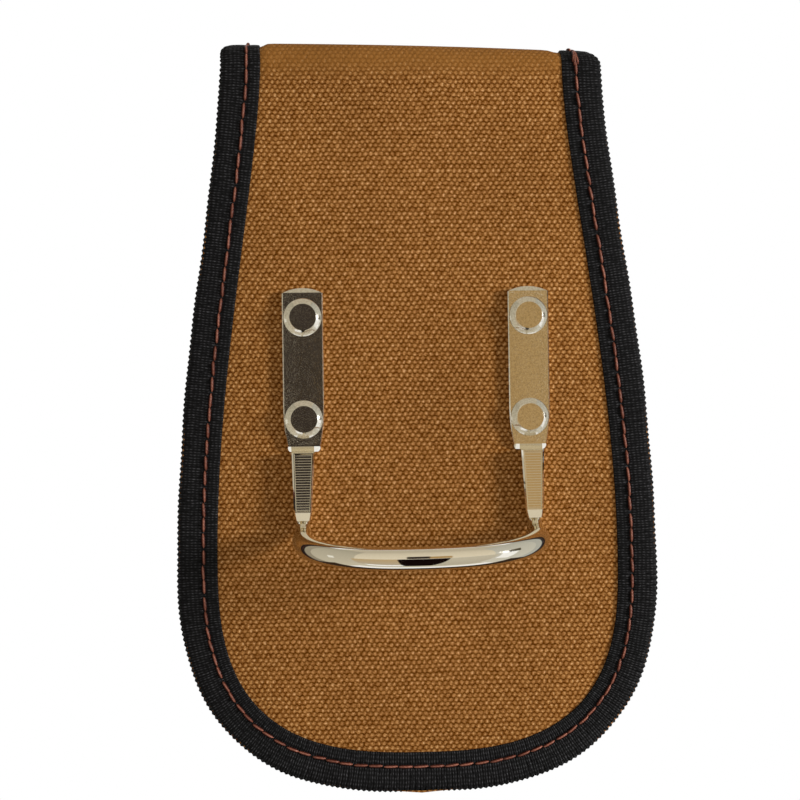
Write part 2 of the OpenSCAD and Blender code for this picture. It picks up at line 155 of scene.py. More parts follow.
class HolderCloth(PropertyGroup):
    """Canvas, lining and board."""

    top_w: length("Top width", "Width across the fold", 111.6)
    widest_drop: length("Widest drop", "Height from the fold down to the widest part", 150)
    end_h: length("End height", "Height of the round end", 67)
    end_power: number("End power", "Squareness of the round end, where 2 is an ellipse", 2.62)
    ease_top: length("Upper ease", "Straight run of the side below the fold", 27)
    ease_low: length("Lower ease", "Straight run of the side above the widest part", 58)
    corner_left: length("Left corner", "Radius of the left corner at the fold", 2.2)
    corner_right: length("Right corner", "Radius of the right corner at the fold", 4.2)
    fold_skew: length("Fold skew", "Height by which the fold runs down to the right", 2.4)
    fold_bow: number("Fold bow", "Power of the fold's run, level at the left where over 1", 2.4)
    fold_rise: length("Fold rise", "Height of the fold's left end over its even place", 1.7)
    fold_puff: length("Fold puff", "Swell of the canvas at the fold's left end", 1.25)
    fold_puff_right: length("Right fold puff", "Swell of the canvas at the fold's right end", 0.5)
    flap_bend_r: length("Flap bend", "Radius of the flap's two bends", 15)
    flap_slope: angle("Flap slope", "Steepest slope of the flap", 35)
    puff: length("Puff", "Swell of the canvas away from the rivets and the tape", 0.35)
    warp_pitch: length("Warp pitch", "Distance between warp yarns", 0.81)
    weft_pitch: length("Weft pitch", "Distance between weft yarns", 1.24)
    # The crown colour is the yarn's paler tone plus a painted highlight; the gap colour is painted shade deep
    # between the yarns.
    crown: tint("Crown", "Colour of the yarn crowns", "#d6a672")
    yarn: tint("Yarn", "Colour of the yarn beside the crowns", "#92602e")
    gap: tint("Gap", "Colour deep between the yarns", "#421700")
    lining: tint("Lining", "Colour of the coated lining", "#2a2725")
    board: tint("Board", "Colour of the stiffener board", "#3c3c3e")


class HolderTape(PropertyGroup):
    """Webbing tape and its stitching."""

    rib_pitch: length("Rib pitch", "Distance between the tape's cross ribs", 1.55)
    rib_h: length("Rib height", "Height of the cross ribs", 0.18)
    edge_r: length("Edge roundness", "Reach of the rounded outer edge", 2.2)
    seam_inset: length("Seam inset", "Distance of the stitches from the bound edge", 7.7)
    stitch_pitch: length("Stitch pitch", "Length of one stitch with its space", 4.6)
    stitch_l: length("Stitch length", "Length of thread on the tape in one stitch", 4.1)
    thread_d: length("Thread", "Diameter of the thread", 0.95)
    bead_pitch: length("Bead pitch", "Distance between the beads along a rib", 1.2)
    web: tint("Webbing", "Colour of the webbing", "#0d0d0e")
    # Painted highlight: the colour laid on the webbing's ribs and beads.
    glint: tint("Webbing glint", "Colour of the webbing's yarn crowns", "#4c4b4c")
    thread: tint("Thread colour", "Main colour of the thread", "#431608")
    # Painted highlight: the pale colour laid along the thread's crest.
    painted_thread_highlight: tint("Worn thread", "Colour of the thread where it is rubbed", "#b0705a")


class HolderSteel(PropertyGroup):
    """Hammer loop and rivets."""

    rod_d: length("Rod", "Diameter of the rod", 5.9)
    root_w: length("Rod root", "Width of the squared rod where it leaves the block", 3.5)
    lean: number("Lean", "Rise of the loop towards its right side, as a slope", 0.019)
    splay: length("Splay", "Sideways step from the plate's middle to the rod", 0.7)
    flare: number("Flare", "Share by which the loop widens beyond its legs", 0.009)
    corner_r: length("Corner radius", "Radius of the loop's two corners", 28.4)
    front_angle: angle("Front angle", "Half angle of the loop's flatter front bar", 10)
    dip: angle("Dip", "Angle by which the loop dips towards the front", 9)
    bend_r: length("Bend radius", "Radius where the rod turns away from the panel", 7.9)
    plate_w: length("Plate width", "Width of the plates", 11.8)
    foot_w: length("Foot width", "Width of the plates at their foot", 9)
    plate_foot: length("Plate foot", "Length of the plate below the lower rivet", 9.3)
    crown: length("Plate crown", "Height of the plate's curved upper edge", 1.6)
    chamfer: length("Chamfer", "Bevel along the plate's side edges", 0.3)
    foot_taper: length("Foot taper", "Length over which the plate narrows to its foot", 13)
    crown_bevel: length("Crown bevel", "Height of the slope at the curved upper edge", 1.4)
    foot_bevel: length("Foot bevel", "Height of the slope at the plate's foot", 1.5)
    neck_w: length("Neck width", "Width of the neck under the plate", 6.6)
    neck_low_w: length("Lower neck width", "Width of the neck at its lower end", 5.2)
    neck_shift: length("Neck shift", "Sideways step from the plate's middle to the neck's top", 0.4)
    neck_l: length("Neck length", "Length of the neck, down to where the rod starts", 17.6)
    neck_d: length("Neck depth", "Depth of the neck in front of the canvas", 4.9)
    neck_slope: length("Neck slope", "Height of the slope at the neck's top", 0.5)
    recess: length("Recess", "Depth of the sunk face on the neck", 0.3)
    groove_w: length("Groove width", "Width of the grooves between the neck's ribs", 0.11)
    groove_d: length("Groove depth", "Depth of the grooves between the neck's ribs", 0.03)
    ribs: IntProperty(name="Ribs", description="Number of pressed ribs on the neck", default=22)
    block_h: length("Block height", "Height of the block under the neck", 2.3)
    block_w: length("Block width", "Width of the block at its lower end", 4.2)
    block_lean: number("Block lean", "Depth of the block's lower end as a share of the neck's", 1.13)
    cap_flat_d: length("Cap flat", "Diameter of the cap's flat top", 7.7)
    nickel: tint("Nickel", "Colour of the nickel plating", "#efebe0")


class HolderStage(PropertyGroup):
    """Camera, lamps and surroundings."""

    lens: number("Lens", "Focal length in millimetres", 93.2)
    camera_x: length("Camera across", "Place of the camera to the right", -47)
    camera_z: length("Camera height", "Place of the camera upwards", -96)
    camera_far: length("Camera distance", "Distance from the camera to the canvas", 600)
    camera_roll: angle("Camera roll", "Roll of the camera, clockwise", 0.8)
    shift: number("Shift", "Shift of the lens to the right and up, as a share of the view", 0.05)
    aim_x: length("Aim across", "Point on the canvas at the view's middle, to the right", -4.95)
    aim_z: length("Aim height", "Point on the canvas at the view's middle, upwards", -74)
    world_level: number("World level", "Strength of the soft light from all round", 0.51)
    key_power: number("Key power", "Power of the key lamp in watts", 15.2)
    fill_power: number("Fill power", "Power of the fill lamp in watts", 1)


GROUPS = {
    "holder_cloth": HolderCloth,
    "holder_tape": HolderTape,
    "holder_steel": HolderSteel,
    "holder_stage": HolderStage,
}

# ---- curves -----------------------------------------------------------------


def smooth(t):
    """Ease from 0 to 1 as t goes from 0 to 1."""
    t = np.clip(t, 0, 1)
    return t * t * (3 - 2 * t)


def unit(rows):
    """Vectors scaled to a length of 1."""
    return rows / np.linalg.norm(rows, axis=-1)[..., None]


def run_lengths(points):
    """Length along a line at each of its points."""
    return np.concatenate([[0], np.cumsum(np.linalg.norm(np.diff(points, axis=0), axis=1))])


def bezier(u, a, b, c, d):
    """Points of the cubic curve from a at 0 to d at 1."""
    return (1 - u) ** 3 * a + 3 * u * (1 - u) ** 2 * b + 3 * u * u * (1 - u) * c + u**3 * d


def fold_shift(x, z, cloth):
    """Height that the crooked fold adds to points of the cloth near the top."""
    start = UPPER_Z + CAP_D
    along = np.clip(x / cloth.top_w + 0.5, 0, 1)
    height = cloth.fold_rise - cloth.fold_skew * along**cloth.fold_bow
    return smooth((z - start) / (FOLD_Z - start)) * height


def side_curve(cloth, inset, steps):
    """Side of the front from the widest part up to the fold: x, z points and inward normals."""
    u = np.linspace(1, 0, steps + 1)[:, None]
    a = np.array([cloth.top_w / 2, CORNER_Z])
    d = np.array([PANEL_W / 2, TOP_Z - cloth.widest_drop])
    b, c = a - [0, cloth.ease_top], d + [0, cloth.ease_low]
    run = unit((1 - u) ** 2 * (b - a) + 2 * u * (1 - u) * (c - b) + u * u * (d - c))
    inward = np.stack([run[:, 1], -run[:, 0]], 1)
    return bezier(u, a, b, c, d) + inset * inward, inward


def end_curve(cloth, inset, steps):
    """Round end from the middle of the bottom up to the widest part, with inward normals."""
    a = np.radians(np.linspace(90, 0, steps + 1))
    wide, high, power = PANEL_W / 2, cloth.end_h, cloth.end_power
    reach = ((np.cos(a) / wide) ** power + (np.sin(a) / high) ** power) ** (-1 / power)
    x, z = reach * np.cos(a), -reach * np.sin(a)
    slope = [(x / wide) ** (power - 1) / wide, -((-z / high) ** (power - 1)) / high]
    inward = -unit(np.stack(slope, 1))
    return np.stack([x, z + TOP_Z - cloth.widest_drop], 1) + inset * inward, inward


def outline(cloth, inset, steps):
    """Right side of the front from the middle of the bottom to the fold, with inward normals."""
    end, end_in = end_curve(cloth, inset, steps)
    side, side_in = side_curve(cloth, inset, steps)
    return np.concatenate([end[:-1], side]), np.concatenate([end_in[:-1], side_in])


def flap_half(z, cloth):
    """Half width of the flap's bound edge against height."""
    ease = (CORNER_Z - CONTACT_Z) / 3
    u = np.linspace(0, 1, 40)
    heights = bezier(u, CORNER_Z, CORNER_Z - ease, CONTACT_Z + ease, CONTACT_Z)
    wide = cloth.top_w / 2 + (FLAP_HALF - cloth.top_w / 2) * bezier(u, 0, 0, 1, 1)
    return np.interp(z, heights[::-1], wide[::-1])


def corner_cut(z, radius):
    """Width that the rounded corner at the fold takes off the edge, at a height of the tape's face."""
    up = np.clip(z - (TOP_Z - radius), 0, radius)
    return radius - np.sqrt(np.maximum(radius * radius - up * up, 0))


def arc(y, z, radius, start, stop, steps):
    """Rows of an arc in the side view: y, z and the outward normal."""
    a = np.linspace(start, stop, steps + 1)
    return np.stack([y + radius * np.cos(a), z + radius * np.sin(a), np.cos(a), np.sin(a)], 1)


def strip_path(cloth):
    """Rows of the path from the bottom to the flap's end, as y, z and outward normal, and their lengths."""
    shift = FOLD_Y + PATH_R - FLAP_Y
    r = cloth.flap_bend_r
    slope = min(cloth.flap_slope, math.acos(1 - shift / (2 * r)))
    straight = (shift - 2 * r * (1 - math.cos(slope))) / math.sin(slope)
    bend_z = CONTACT_Z + 2 * r * math.sin(slope) + straight * math.cos(slope)
    path = np.concatenate([
        [(FRONT_Y, BOTTOM_Z, -1, 0), (FRONT_Y, FOLD_Z, -1, 0)],
        arc(FOLD_Y, FOLD_Z, PATH_R, math.pi, 0, 40)[1:],
        arc(FOLD_Y + PATH_R - r, bend_z, r, 0, -slope, 12),
        arc(FLAP_Y + r, CONTACT_Z, -r, -slope, 0, 12),
        [(FLAP_Y, FLAP_END, 1, 0)]])
    return path, run_lengths(path[:, :2])


def strip_length(cloth):
    """Length of the cloth from the bottom over the fold to the flap's end."""
    return strip_path(cloth)[1][-1]


def strip_at(s, cloth):
    """Path points and outward normals at lengths s: y, z, normal y, normal z."""
    path, lengths = strip_path(cloth)
    y, z, ny, nz = (np.interp(s, lengths, column) for column in path.T)
    size = np.hypot(ny, nz)
    return y, z, ny / size, nz / size


def half_widths(s, inset, cloth):
    """Half widths left and right of a layer, at lengths s, whose edge lies inset from the bound edge."""
    y, z, ny, nz = strip_at(s, cloth)
    line, _ = outline(cloth, inset, 240)
    front = np.interp(z, line[:, 1], line[:, 0])
    wide = np.where(s < FRONT_L, front, flap_half(z, cloth) - inset)
    wide = np.where((s >= FRONT_L) & (s <= FRONT_L + FOLD_L), cloth.top_w / 2 - inset, wide)
    face_z = z + nz * (CANVAS_T + TAPE_T)
    return [wide - corner_cut(face_z, r) for r in (cloth.corner_left, cloth.corner_right)]


# ---- mesh making ------------------------------------------------------------


def turn_outward(made):
    """Recalculate the normals of a closed mesh so that they point outwards."""
    bm = bmesh.new()
    bm.from_mesh(made.data)
    bmesh.ops.recalc_face_normals(bm, faces=bm.faces)
    bm.to_mesh(made.data)
    bm.free()


def mesh_object(name, points, faces, uvs, closed=True):
    """A mesh object at the origin, with a UV map called cut that is given for each vertex."""
    mesh = bpy.data.meshes.new(name)
    mesh.from_pydata(np.asarray(points).tolist(), [], faces)
    mesh.validate()
    layer = mesh.uv_layers.new(name="cut")
    corners = np.zeros(len(mesh.loops), np.int32)
    mesh.loops.foreach_get("vertex_index", corners)
    layer.data.foreach_set("uv", np.asarray(uvs, np.float32)[corners].ravel())
    made = bpy.data.objects.new(name, mesh)
    bpy.context.scene.collection.objects.link(made)
    if closed:
        turn_outward(made)
    return made


def layer_faces(rows, cols):
    """Quads of two like grids of vertices, one after the other, and of the rim that joins them."""
    grid, other = np.arange(rows * cols).reshape(rows, cols), rows * cols
    quads = np.stack([grid[:-1, :-1], grid[:-1, 1:], grid[1:, 1:], grid[1:, :-1]], -1).reshape(-1, 4)
    rim = np.concatenate([grid[0], grid[1:, -1], grid[-1, -2::-1], grid[-2:0:-1, 0]])
    ahead = np.roll(rim, -1)
    band = np.stack([rim, rim + other, ahead + other, ahead], 1)
    return np.concatenate([quads, quads[:, ::-1] + other, band]).tolist()


def tube_faces(rings, around, start=0):
    """Quads along a tube of rings of vertices, with a face over each end."""
    grid = start + np.arange(rings * around).reshape(rings, around)
    ahead = np.roll(grid, -1, axis=1)
    quads = np.stack([grid[:-1], ahead[:-1], ahead[1:], grid[1:]], -1).reshape(-1, 4)
    return quads.tolist() + [grid[0, ::-1].tolist(), grid[-1].tolist()]


def deselect():
    """Leave no object selected."""
    bpy.ops.object.select_all(action="DESELECT")


def only(made):
    """Make one object the selected and active one."""
    deselect()
    made.select_set(True)
    bpy.context.view_layer.objects.active = made


def coat(made, material):
    """Give an object one material."""
    made.data.materials.clear()
    made.data.materials.append(material)


def finish_piece(made, node, material, degrees=None):
    """Give a piece its material, its shading and its place in the frame."""
    coat(made, material)
    only(made)
    if degrees is None:
        bpy.ops.object.shade_smooth()
    else:
        bpy.ops.object.shade_smooth_by_angle(angle=math.radians(degrees))
    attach(made, "root")
    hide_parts(node)


# ---- canvas and lining ------------------------------------------------------


def board_step(s):
    """Depth by which the lining steps back over the board."""
    top, ramp = BOARD_HIGH.z - BOTTOM_Z, 6 * MM
    return BOARD_T * np.where(s < FRONT_L, 1 - smooth((s - top) / ramp), 0)


def canvas_depths(x, z, edge, s, cloth):
    """How far the canvas' faces lie in front of the path: still at tape and rivets, swollen between."""
    swell = cloth.puff * smooth((edge - TAPE_W) / TAPE_STILL)
    for side in (-1, 1):
        for level in (UPPER_Z, LOWER_Z, (UPPER_Z + LOWER_Z) / 2):
            away = np.hypot(x - side * RIVET_X, z - level)
            swell = swell * (1 - np.exp(-((away / RIVET_STILL) ** 2)))
    wave = np.sin(x / (17 * MM) + 1.3) * np.sin(z / (21 * MM) + 0.4)
    wave = wave + 0.6 * np.sin(x / (9 * MM) - z / (13 * MM) + 2.1) * np.sin(z / (34 * MM))
    along = np.clip(x / cloth.top_w + 0.5, 0, 1)
    height = cloth.fold_puff + (cloth.fold_puff_right - cloth.fold_puff) * along
    away = (s - FRONT_L - FOLD_L / 2) / (0.75 * FOLD_L)
    roll = height * np.exp(-(away**2)) * smooth((edge - TAPE_W + 1.5 * MM) / (3 * MM))
    swell = swell * (1 + 0.55 * wave) * (s < FRONT_L) + roll
    return CANVAS_T + swell, CANVAS_PLAY + swell


def lining_depths(x, z, edge, s, cloth):
    """How far the lining's faces lie in front of the path, which is behind it by the board's step."""
    return -board_step(s) - LINING_PLAY, -board_step(s) - LINING_T


def cloth_rows(cloth):
    """Lengths of the rows that a cloth layer is made of, from the bottom to the flap's end."""
    low = end_curve(cloth, 0, 44)[0][1:, 1] - BOTTOM_Z
    low[0] = max(low[0], 1.2 * MM)
    side = np.linspace(low[-1], FRONT_L, 80)[1:]
    fold = FRONT_L + np.linspace(0, FOLD_L, 21)[1:]
    flap = np.linspace(FRONT_L + FOLD_L, strip_length(cloth) - TAPE_T, 64)[1:]
    return np.concatenate([low, side, fold, flap])


def cloth_layer(name, cloth, depths, inset):
    """A closed cloth layer, its flat size and its area. depths is a function for its faces' depths."""
    rows, whole = cloth_rows(cloth)[:, None], strip_length(cloth)
    y, z, ny, nz = strip_at(rows, cloth)
    left, right = half_widths(rows, inset, cloth)
    across = np.linspace(-1, 1, 81)
    wide = np.where(across < 0, left, right)
    x = wide * across
    s, z = rows + 0 * x, z + 0 * x
    edge = wide * (1 - np.abs(across)) + inset
    edge = np.where(s < FRONT_L, np.minimum(edge, z - BOTTOM_Z), edge)
    edge = np.where(s > FRONT_L, np.minimum(edge, whole - s), edge)
    shift = fold_shift(x, z, cloth)
    outer, inner = (np.stack([x, y + d * ny, z + d * nz], -1) for d in depths(x, z, edge, s, cloth))
    run = rows[0] + run_lengths(outer[:, x.shape[1] // 2])[:, None]
    uv = np.stack([x / PANEL_W + 0.5, (run - shift * ny) / whole], -1).reshape(-1, 2)
    points = np.stack([outer, inner])
    points[..., 2] += shift
    made = mesh_object(name, points.reshape(-1, 3), layer_faces(*x.shape), np.tile(uv, (2, 1)))
    return made, (PANEL_W, whole), float(np.trapz((left + right)[:, 0], rows[:, 0]))


def finish_layer(made, size, area, node, slot, material):
    """Finish a cloth layer; its flat size and area are not used."""
    finish_piece(made, node, material)


# ---- tape and stitches ------------------------------------------------------


def side_line(cloth, corner):
    """Right half of the bound edge as rows of a seam's data, from the bottom to the flap's end."""
    line, inward = outline(cloth, 0, 120)
    keep = line[:, 1] < FOLD_Z
    (x, z), (ix, iz) = line[keep].T, inward[keep].T
    nil, depth = 0 * x, LINING_T + TAPE_T
    front = [x, nil + FRONT_Y, z, ix, nil, iz, nil, nil - 1, nil, nil, board_step(z - BOTTOM_Z) + depth]
    fold = FRONT_L + np.linspace(0, FOLD_L, 60)
    s = np.concatenate([fold, np.linspace(FRONT_L + FOLD_L, strip_length(cloth), 120)[1:]])
    y, z, ny, nz = strip_at(s, cloth)
    wide = np.where(s <= FRONT_L + FOLD_L, cloth.top_w / 2, flap_half(z, cloth))
    cut = corner_cut(z + nz * (CANVAS_T + TAPE_T), corner)
    nil = 0 * s
    back = [wide, y, z, nil - 1, nil, nil, nil, ny, nz, cut, nil + depth]
    return np.concatenate([np.stack(front, 1), np.stack(back, 1)])


def edge_line(cloth):
    """The whole bound edge, from the flap's left end round the bottom to its right end."""
    left = side_line(cloth, cloth.corner_left)[:0:-1].copy()
    left[:, [0, 3]] *= -1
    return np.concatenate([left, side_line(cloth, cloth.corner_right)])


def end_line():
    """The flap's lower edge, from left to right between the side tapes."""
    reach = FLAP_HALF - TAPE_W
    return np.array([(x, FLAP_Y, FLAP_END, 0, 0, 1, 0, 1, 0, 0, LINING_T + TAPE_T) for x in (-reach, reach)])


class Seam:
    """Even stations along a bound edge. The columns of data hold the edge point, the way in over
    the cloth and the cloth's normal, then the corner's cut and the tape's depth behind the path."""

    def __init__(self, cloth, line, spacing):
        run = run_lengths(line[:, :3] + (CANVAS_T + TAPE_T) * line[:, 6:9])
        self.cloth, self.length = cloth, run[-1]
        self.s = np.linspace(0, self.length, int(round(self.length / spacing)) + 1)
        self.data = np.stack([np.interp(self.s, run, column) for column in line.T], 1)
        for k in (3, 6):
            self.data[:, k : k + 3] = unit(self.data[:, k : k + 3])

    def at(self, s, t, h):
        """Points at lengths s, inset t from the edge and h in front of the path."""
        picks = np.stack([np.interp(s, self.s, column) for column in self.data.T], -1)
        t = t * (1 - picks[..., CUT] / TAPE_W) + picks[..., CUT]
        placed = picks[..., :3] + picks[..., 3:6] * t[..., None] + picks[..., 6:9] * h[..., None]
        placed[..., 2] += fold_shift(placed[..., 0], placed[..., 2], self.cloth)
        return placed


def tape_profile(tape):
    """Folded tape's outer side as rows of inset, side and relief.

    Side runs from 1 on the outer face through 0 at the folded edge to -1 on the inner face.
    Relief is the height over the cloth as a share of the tape's thickness."""
    seam, inner = tape.seam_inset / MM, TAPE_W / MM
    face = [
        (inner, 0.02), (inner - 0.02, 0.55), (inner - 0.3, 0.92), (inner - 1, 1.02), (inner - 2.2, 1.06),
        (seam + 0.9, 1.0), (seam + 0.35, 0.78), (seam, 0.62), (seam - 0.35, 0.8), (seam - 0.9, 1.02),
        (seam - 2.2, 1.1), (seam - 3.6, 1.1), (tape.edge_r / MM + 0.4, 1.04)]
    rows = [(t * MM, 1.0, relief) for t, relief in face]
    for a in np.radians(np.linspace(90, -90, 11)):
        rounding = abs(math.sin(a)) ** 0.85
        rows.append((tape.edge_r * (1 - abs(math.cos(a)) ** 0.8), math.copysign(rounding, math.sin(a)), 1.0))
    rows += [(t * MM, -1.0, relief) for t, relief in reversed(face)]
    return np.array(rows)


def folded_tape(name, seam, tape):
    """A closed ribbed tape swept along a seam, and its width laid flat."""
    inset, side, relief = tape_profile(tape).T
    count, back = len(seam.s), seam.data[:, BACK, None]
    rib = -0.5 - 0.5 * np.cos(2 * math.pi * (seam.s / tape.rib_pitch))
    wander = 0.05 * MM * np.sin(seam.s / (11 * MM)) + 0.04 * MM * np.sin(seam.s / (4.7 * MM) + 1)
    high, low = CANVAS_T + TAPE_T * relief, TAPE_T - back - TAPE_T * relief
    mid, reach = (CANVAS_T + TAPE_T - back) / 2, (CANVAS_T + TAPE_T + back) / 2
    h = np.where(side == 1, high, np.where(side == -1, low, mid + reach * side))
    t = np.tile(inset, (count, 1))
    dt, dh = np.gradient(t, axis=1), np.gradient(h, axis=1)
    size = np.hypot(dt, dh) + 1e-9
    # The ribs stand out most at the folded edge, which makes its saw teeth.
    bump = (rib * tape.rib_h + wander)[:, None] * np.minimum(1, relief**3) * np.where(abs(side) < 1, TOOTH, 1)
    t, h = t + bump * dh / size, h - bump * dt / size
    inner_h = np.concatenate([TAPE_T - back, (CANVAS_T - back + TAPE_T) / 2, CANVAS_T + 0 * back], 1)
    t = np.concatenate([t, np.tile(TAPE_WALL, (count, 1))], 1)
    h = np.concatenate([h, inner_h], 1)
    s = seam.s[:, None] + 0 * t
    around = run_lengths(np.stack([t[0], h[0]], 1))
    girth = around[len(inset) - 1]
    uv = np.stack([around / girth + 0 * t, s / seam.length], -1).reshape(-1, 2)
    made = mesh_object(name, seam.at(s, t, h).reshape(-1, 3), tube_faces(*t.shape), uv)
    return made, girth


def stitch_row(name, seam, tape, outer, extra=()):
    """Stitches along a seam on its outer or inner face, each a closed tube with narrow ends.

    extra lists added stitches as middle, inset and lean. The UV's second part is the height over
    the cloth, from 0 underneath to 1 on the crest."""
    count = int(seam.length / tape.stitch_pitch)
    wobble = np.random.default_rng(7 if outer else 11)
    lean = wobble.normal(0.1 * MM, 0.08 * MM, count)
    inset = tape.seam_inset + wobble.normal(0, 0.06 * MM, count)
    middles = (np.arange(count) + 0.5) * seam.length / count
    middles = middles + wobble.normal(0, 0.05 * tape.stitch_pitch, count)
    rows = [*zip(middles, inset, lean, np.ones(count))]
    rows += [(centre, tape.seam_inset + step, slant, TACK_RISE) for centre, step, slant in extra]
    centre, inset, lean, height = np.array(rows).T[..., None]
    along = np.linspace(-0.5, 0.5, THREAD_RINGS)
    s, t = centre + along * tape.stitch_l, inset + lean * 2 * along
    lift = SINK * TAPE_T + 0.5 * tape.thread_d * (height - np.abs(2 * along) ** 4)
    h = CANVAS_T + lift if outer else TAPE_T - np.interp(s, seam.s, seam.data[:, BACK]) - lift
    centres = seam.at(s, t, h)
    run = unit(np.gradient(centres, axis=1))
    across = unit(np.cross((seam.at(s, t, h + MM) - centres) / MM, run))
    up = np.cross(run, across)
    thick = np.full(THREAD_RINGS, tape.thread_d / 2)
    thick[[0, -1]] *= THREAD_END
    a = np.arange(THREAD_SIDES) * 2 * math.pi / THREAD_SIDES
    ring = across[:, :, None] * np.cos(a)[:, None] + up[:, :, None] * np.sin(a)[:, None]
    points = centres[:, :, None] + ring * thick[:, None, None]
    uv = np.zeros((*points.shape[:3], 2))
    uv[..., 0] = np.linspace(0, 1, THREAD_RINGS)[:, None]
    uv[..., 1] = 0.5 + 0.5 * np.sin(a)
    starts = np.arange(len(rows)) * THREAD_RINGS * THREAD_SIDES
    faces = [face for start in starts for face in tube_faces(THREAD_RINGS, THREAD_SIDES, start)]
    return mesh_object(name, points.reshape(-1, 3), faces, uv.reshape(-1, 2))


# ---- materials --------------------------------------------------------------


def add_node(tree, kind, inputs=(), **settings):
    """Add a node, set its properties, and fill its sockets in order or by name.

    The kind may end in a point and an operation. A socket takes a value, a socket to link, or a
    node, whose first output is linked."""
    kind, _, operation = kind.partition(".")
    made = tree.nodes.new("ShaderNode" + kind)
    if operation:
        made.operation = operation
    for key, value in settings.items():
        setattr(made, key, value)
    in_use = [socket for socket in made.inputs if socket.enabled]
    for key, value in inputs.items() if isinstance(inputs, dict) else enumerate(inputs):
        socket = made.inputs[key] if isinstance(key, str) else in_use[key]
        if isinstance(value, bpy.types.Node):
            value = next(output for output in value.outputs if output.enabled)
        if isinstance(value, bpy.types.NodeSocket):
            tree.links.new(value, socket)
        else:
            socket.default_value = value
    return made


def rgba(paint):
    """A socket's colour from a linear colour or an sRGB hex colour."""
    return (*(linear(paint) if isinstance(paint, str) else paint), 1.0)


def start_material(name):
    """A new, empty material, and add_node for its tree."""
    material = bpy.data.materials.new(name)
    material.use_nodes = True
    material.node_tree.nodes.clear()
    return material, partial(add_node, material.node_tree)


def finish_material(add, inputs, height, depth, strength=0.6):
    """End a material in a shader with its sockets filled, and a bump."""
    bump = add("Bump", {"Strength": strength, "Distance": depth, "Height": height})
    add("OutputMaterial", {"Surface": add("BsdfPrincipled", {**inputs, "Normal": bump})})


def set_stops(ramp, stops):
    """Give a colour ramp its stops of position and colour, in rising order."""
    marks = ramp.color_ramp.elements
    while len(marks) < len(stops):
        marks.new(0.5)
    for mark, (place, paint) in zip(marks, stops):
        mark.position, mark.color = place, rgba(paint)
    return ramp


def cut_place(add, width, run):
    """Flat place on the cloth's cut, in millimetres."""
    return add("Mapping", {"Vector": add("UVMap", uv_map="cut"), "Scale": (width / MM, run / MM, 1)})


def object_place(add):
    """Place in the frame, in millimetres."""
    return add("Mapping", {"Vector": add("TexCoord").outputs["Object"], "Scale": (1 / MM,) * 3})


def cosines(add, place, turns):
    """Waves across and along a place, as the outputs of one node."""
    phase = add("VectorMath.MULTIPLY", [place, turns])
    return add("SeparateXYZ", [add("VectorMath.COSINE", [phase])]).outputs


def clouded(add, place, colour, scale, low, high):
    """A colour under large soft patches from a low tone to a high one."""
    patch = add("TexNoise", {"Vector": place, "Scale": scale, "Detail": 3.0})
    tone = set_stops(add("ValToRGB", [patch]), [(0.3, low), (0.7, high)])
    return add("Mix", [1.0, colour, tone], data_type="RGBA", blend_type="MULTIPLY")


def canvas_material(cloth):
    """Woven duck: rows of yarn crowns with painted highlights, offset from row to row, between dark wavy
    lines of painted shade.
    """
    material, add = start_material("woven_duck_canvas")
    flat = cut_place(add, PANEL_W, strip_length(cloth))
    drift = add("TexNoise", {"Vector": flat, "Scale": 0.13, "Detail": 2.0}).outputs["Color"]
    moved = add("VectorMath.MULTIPLY_ADD", [drift, (1.3, 1.3, 0), flat])
    turns = (math.pi / (cloth.warp_pitch / MM), math.pi / (cloth.weft_pitch / MM), 0)
    phase = add("SeparateXYZ", [add("VectorMath.MULTIPLY", [moved, turns])]).outputs
    row = add("Math.COSINE", [phase[1]])
    step = add("Math.SINE", [phase[1]])
    # The slant leans the crowns, and the painted highlights on them.
    slant = add("Math.MULTIPLY", [row, step])
    slanted = add("Math.MULTIPLY_ADD", [slant, -0.4, phase[0]])
    warp = add("Math.COSINE", [slanted])
    wave = add("Math.MULTIPLY", [warp, step])
    bent = add("Math.MULTIPLY_ADD", [wave, -0.48, phase[1]])
    band = add("Math.ABSOLUTE", [add("Math.COSINE", [bent])])
    band = add("Math.POWER", [band, 0.38])
    crown = add("Math.MULTIPLY", [warp, row])
    crown = add("Math.MULTIPLY_ADD", [crown, 0.2, 0.66])
    lit = add("Math.MULTIPLY", [band, crown])
    # Uneven yarns, then the fibres on them: noise about nil.
    for scale, detail, share in ((0.55, 1.0, 0.6), (2.2, 2.0, 0.9)):
        noise = add("TexNoise", {"Vector": flat, "Scale": scale, "Detail": detail})
        noise = add("Math.MULTIPLY_ADD", [noise, share, -share / 2])
        lit = add("Math.ADD", [lit, noise])
    # The ramp paints light and shade by the weave's height: painted shade in the gaps and dark lines, painted
    # highlights on the crowns.
    colour = set_stops(add("ValToRGB", [lit]), [
        (0.0, cloth.gap), (0.3, "#683804"), (0.6, cloth.yarn), (0.85, "#b98348"), (1.0, cloth.crown)])
    # Over the fold the weave's painted highlights and shade fade to one plain tone.
    along = add("SeparateXYZ", [flat]).outputs[1]
    top = FRONT_L / MM
    roll = add("MapRange", {"Value": along, "From Min": top - 1, "From Max": top + 5, "To Max": 0.75})
    colour = add("Mix", [roll, colour, rgba("#93612a")], data_type="RGBA")
    colour = clouded(add, flat, colour, 0.03, (0.9, 0.89, 0.87), (1.07, 1.08, 1.1))
    looks = {"Base Color": colour, "Roughness": 0.75, "Specular IOR Level": 0.04}
    finish_material(add, looks, lit, 0.3 * MM, 0.7)
    return material


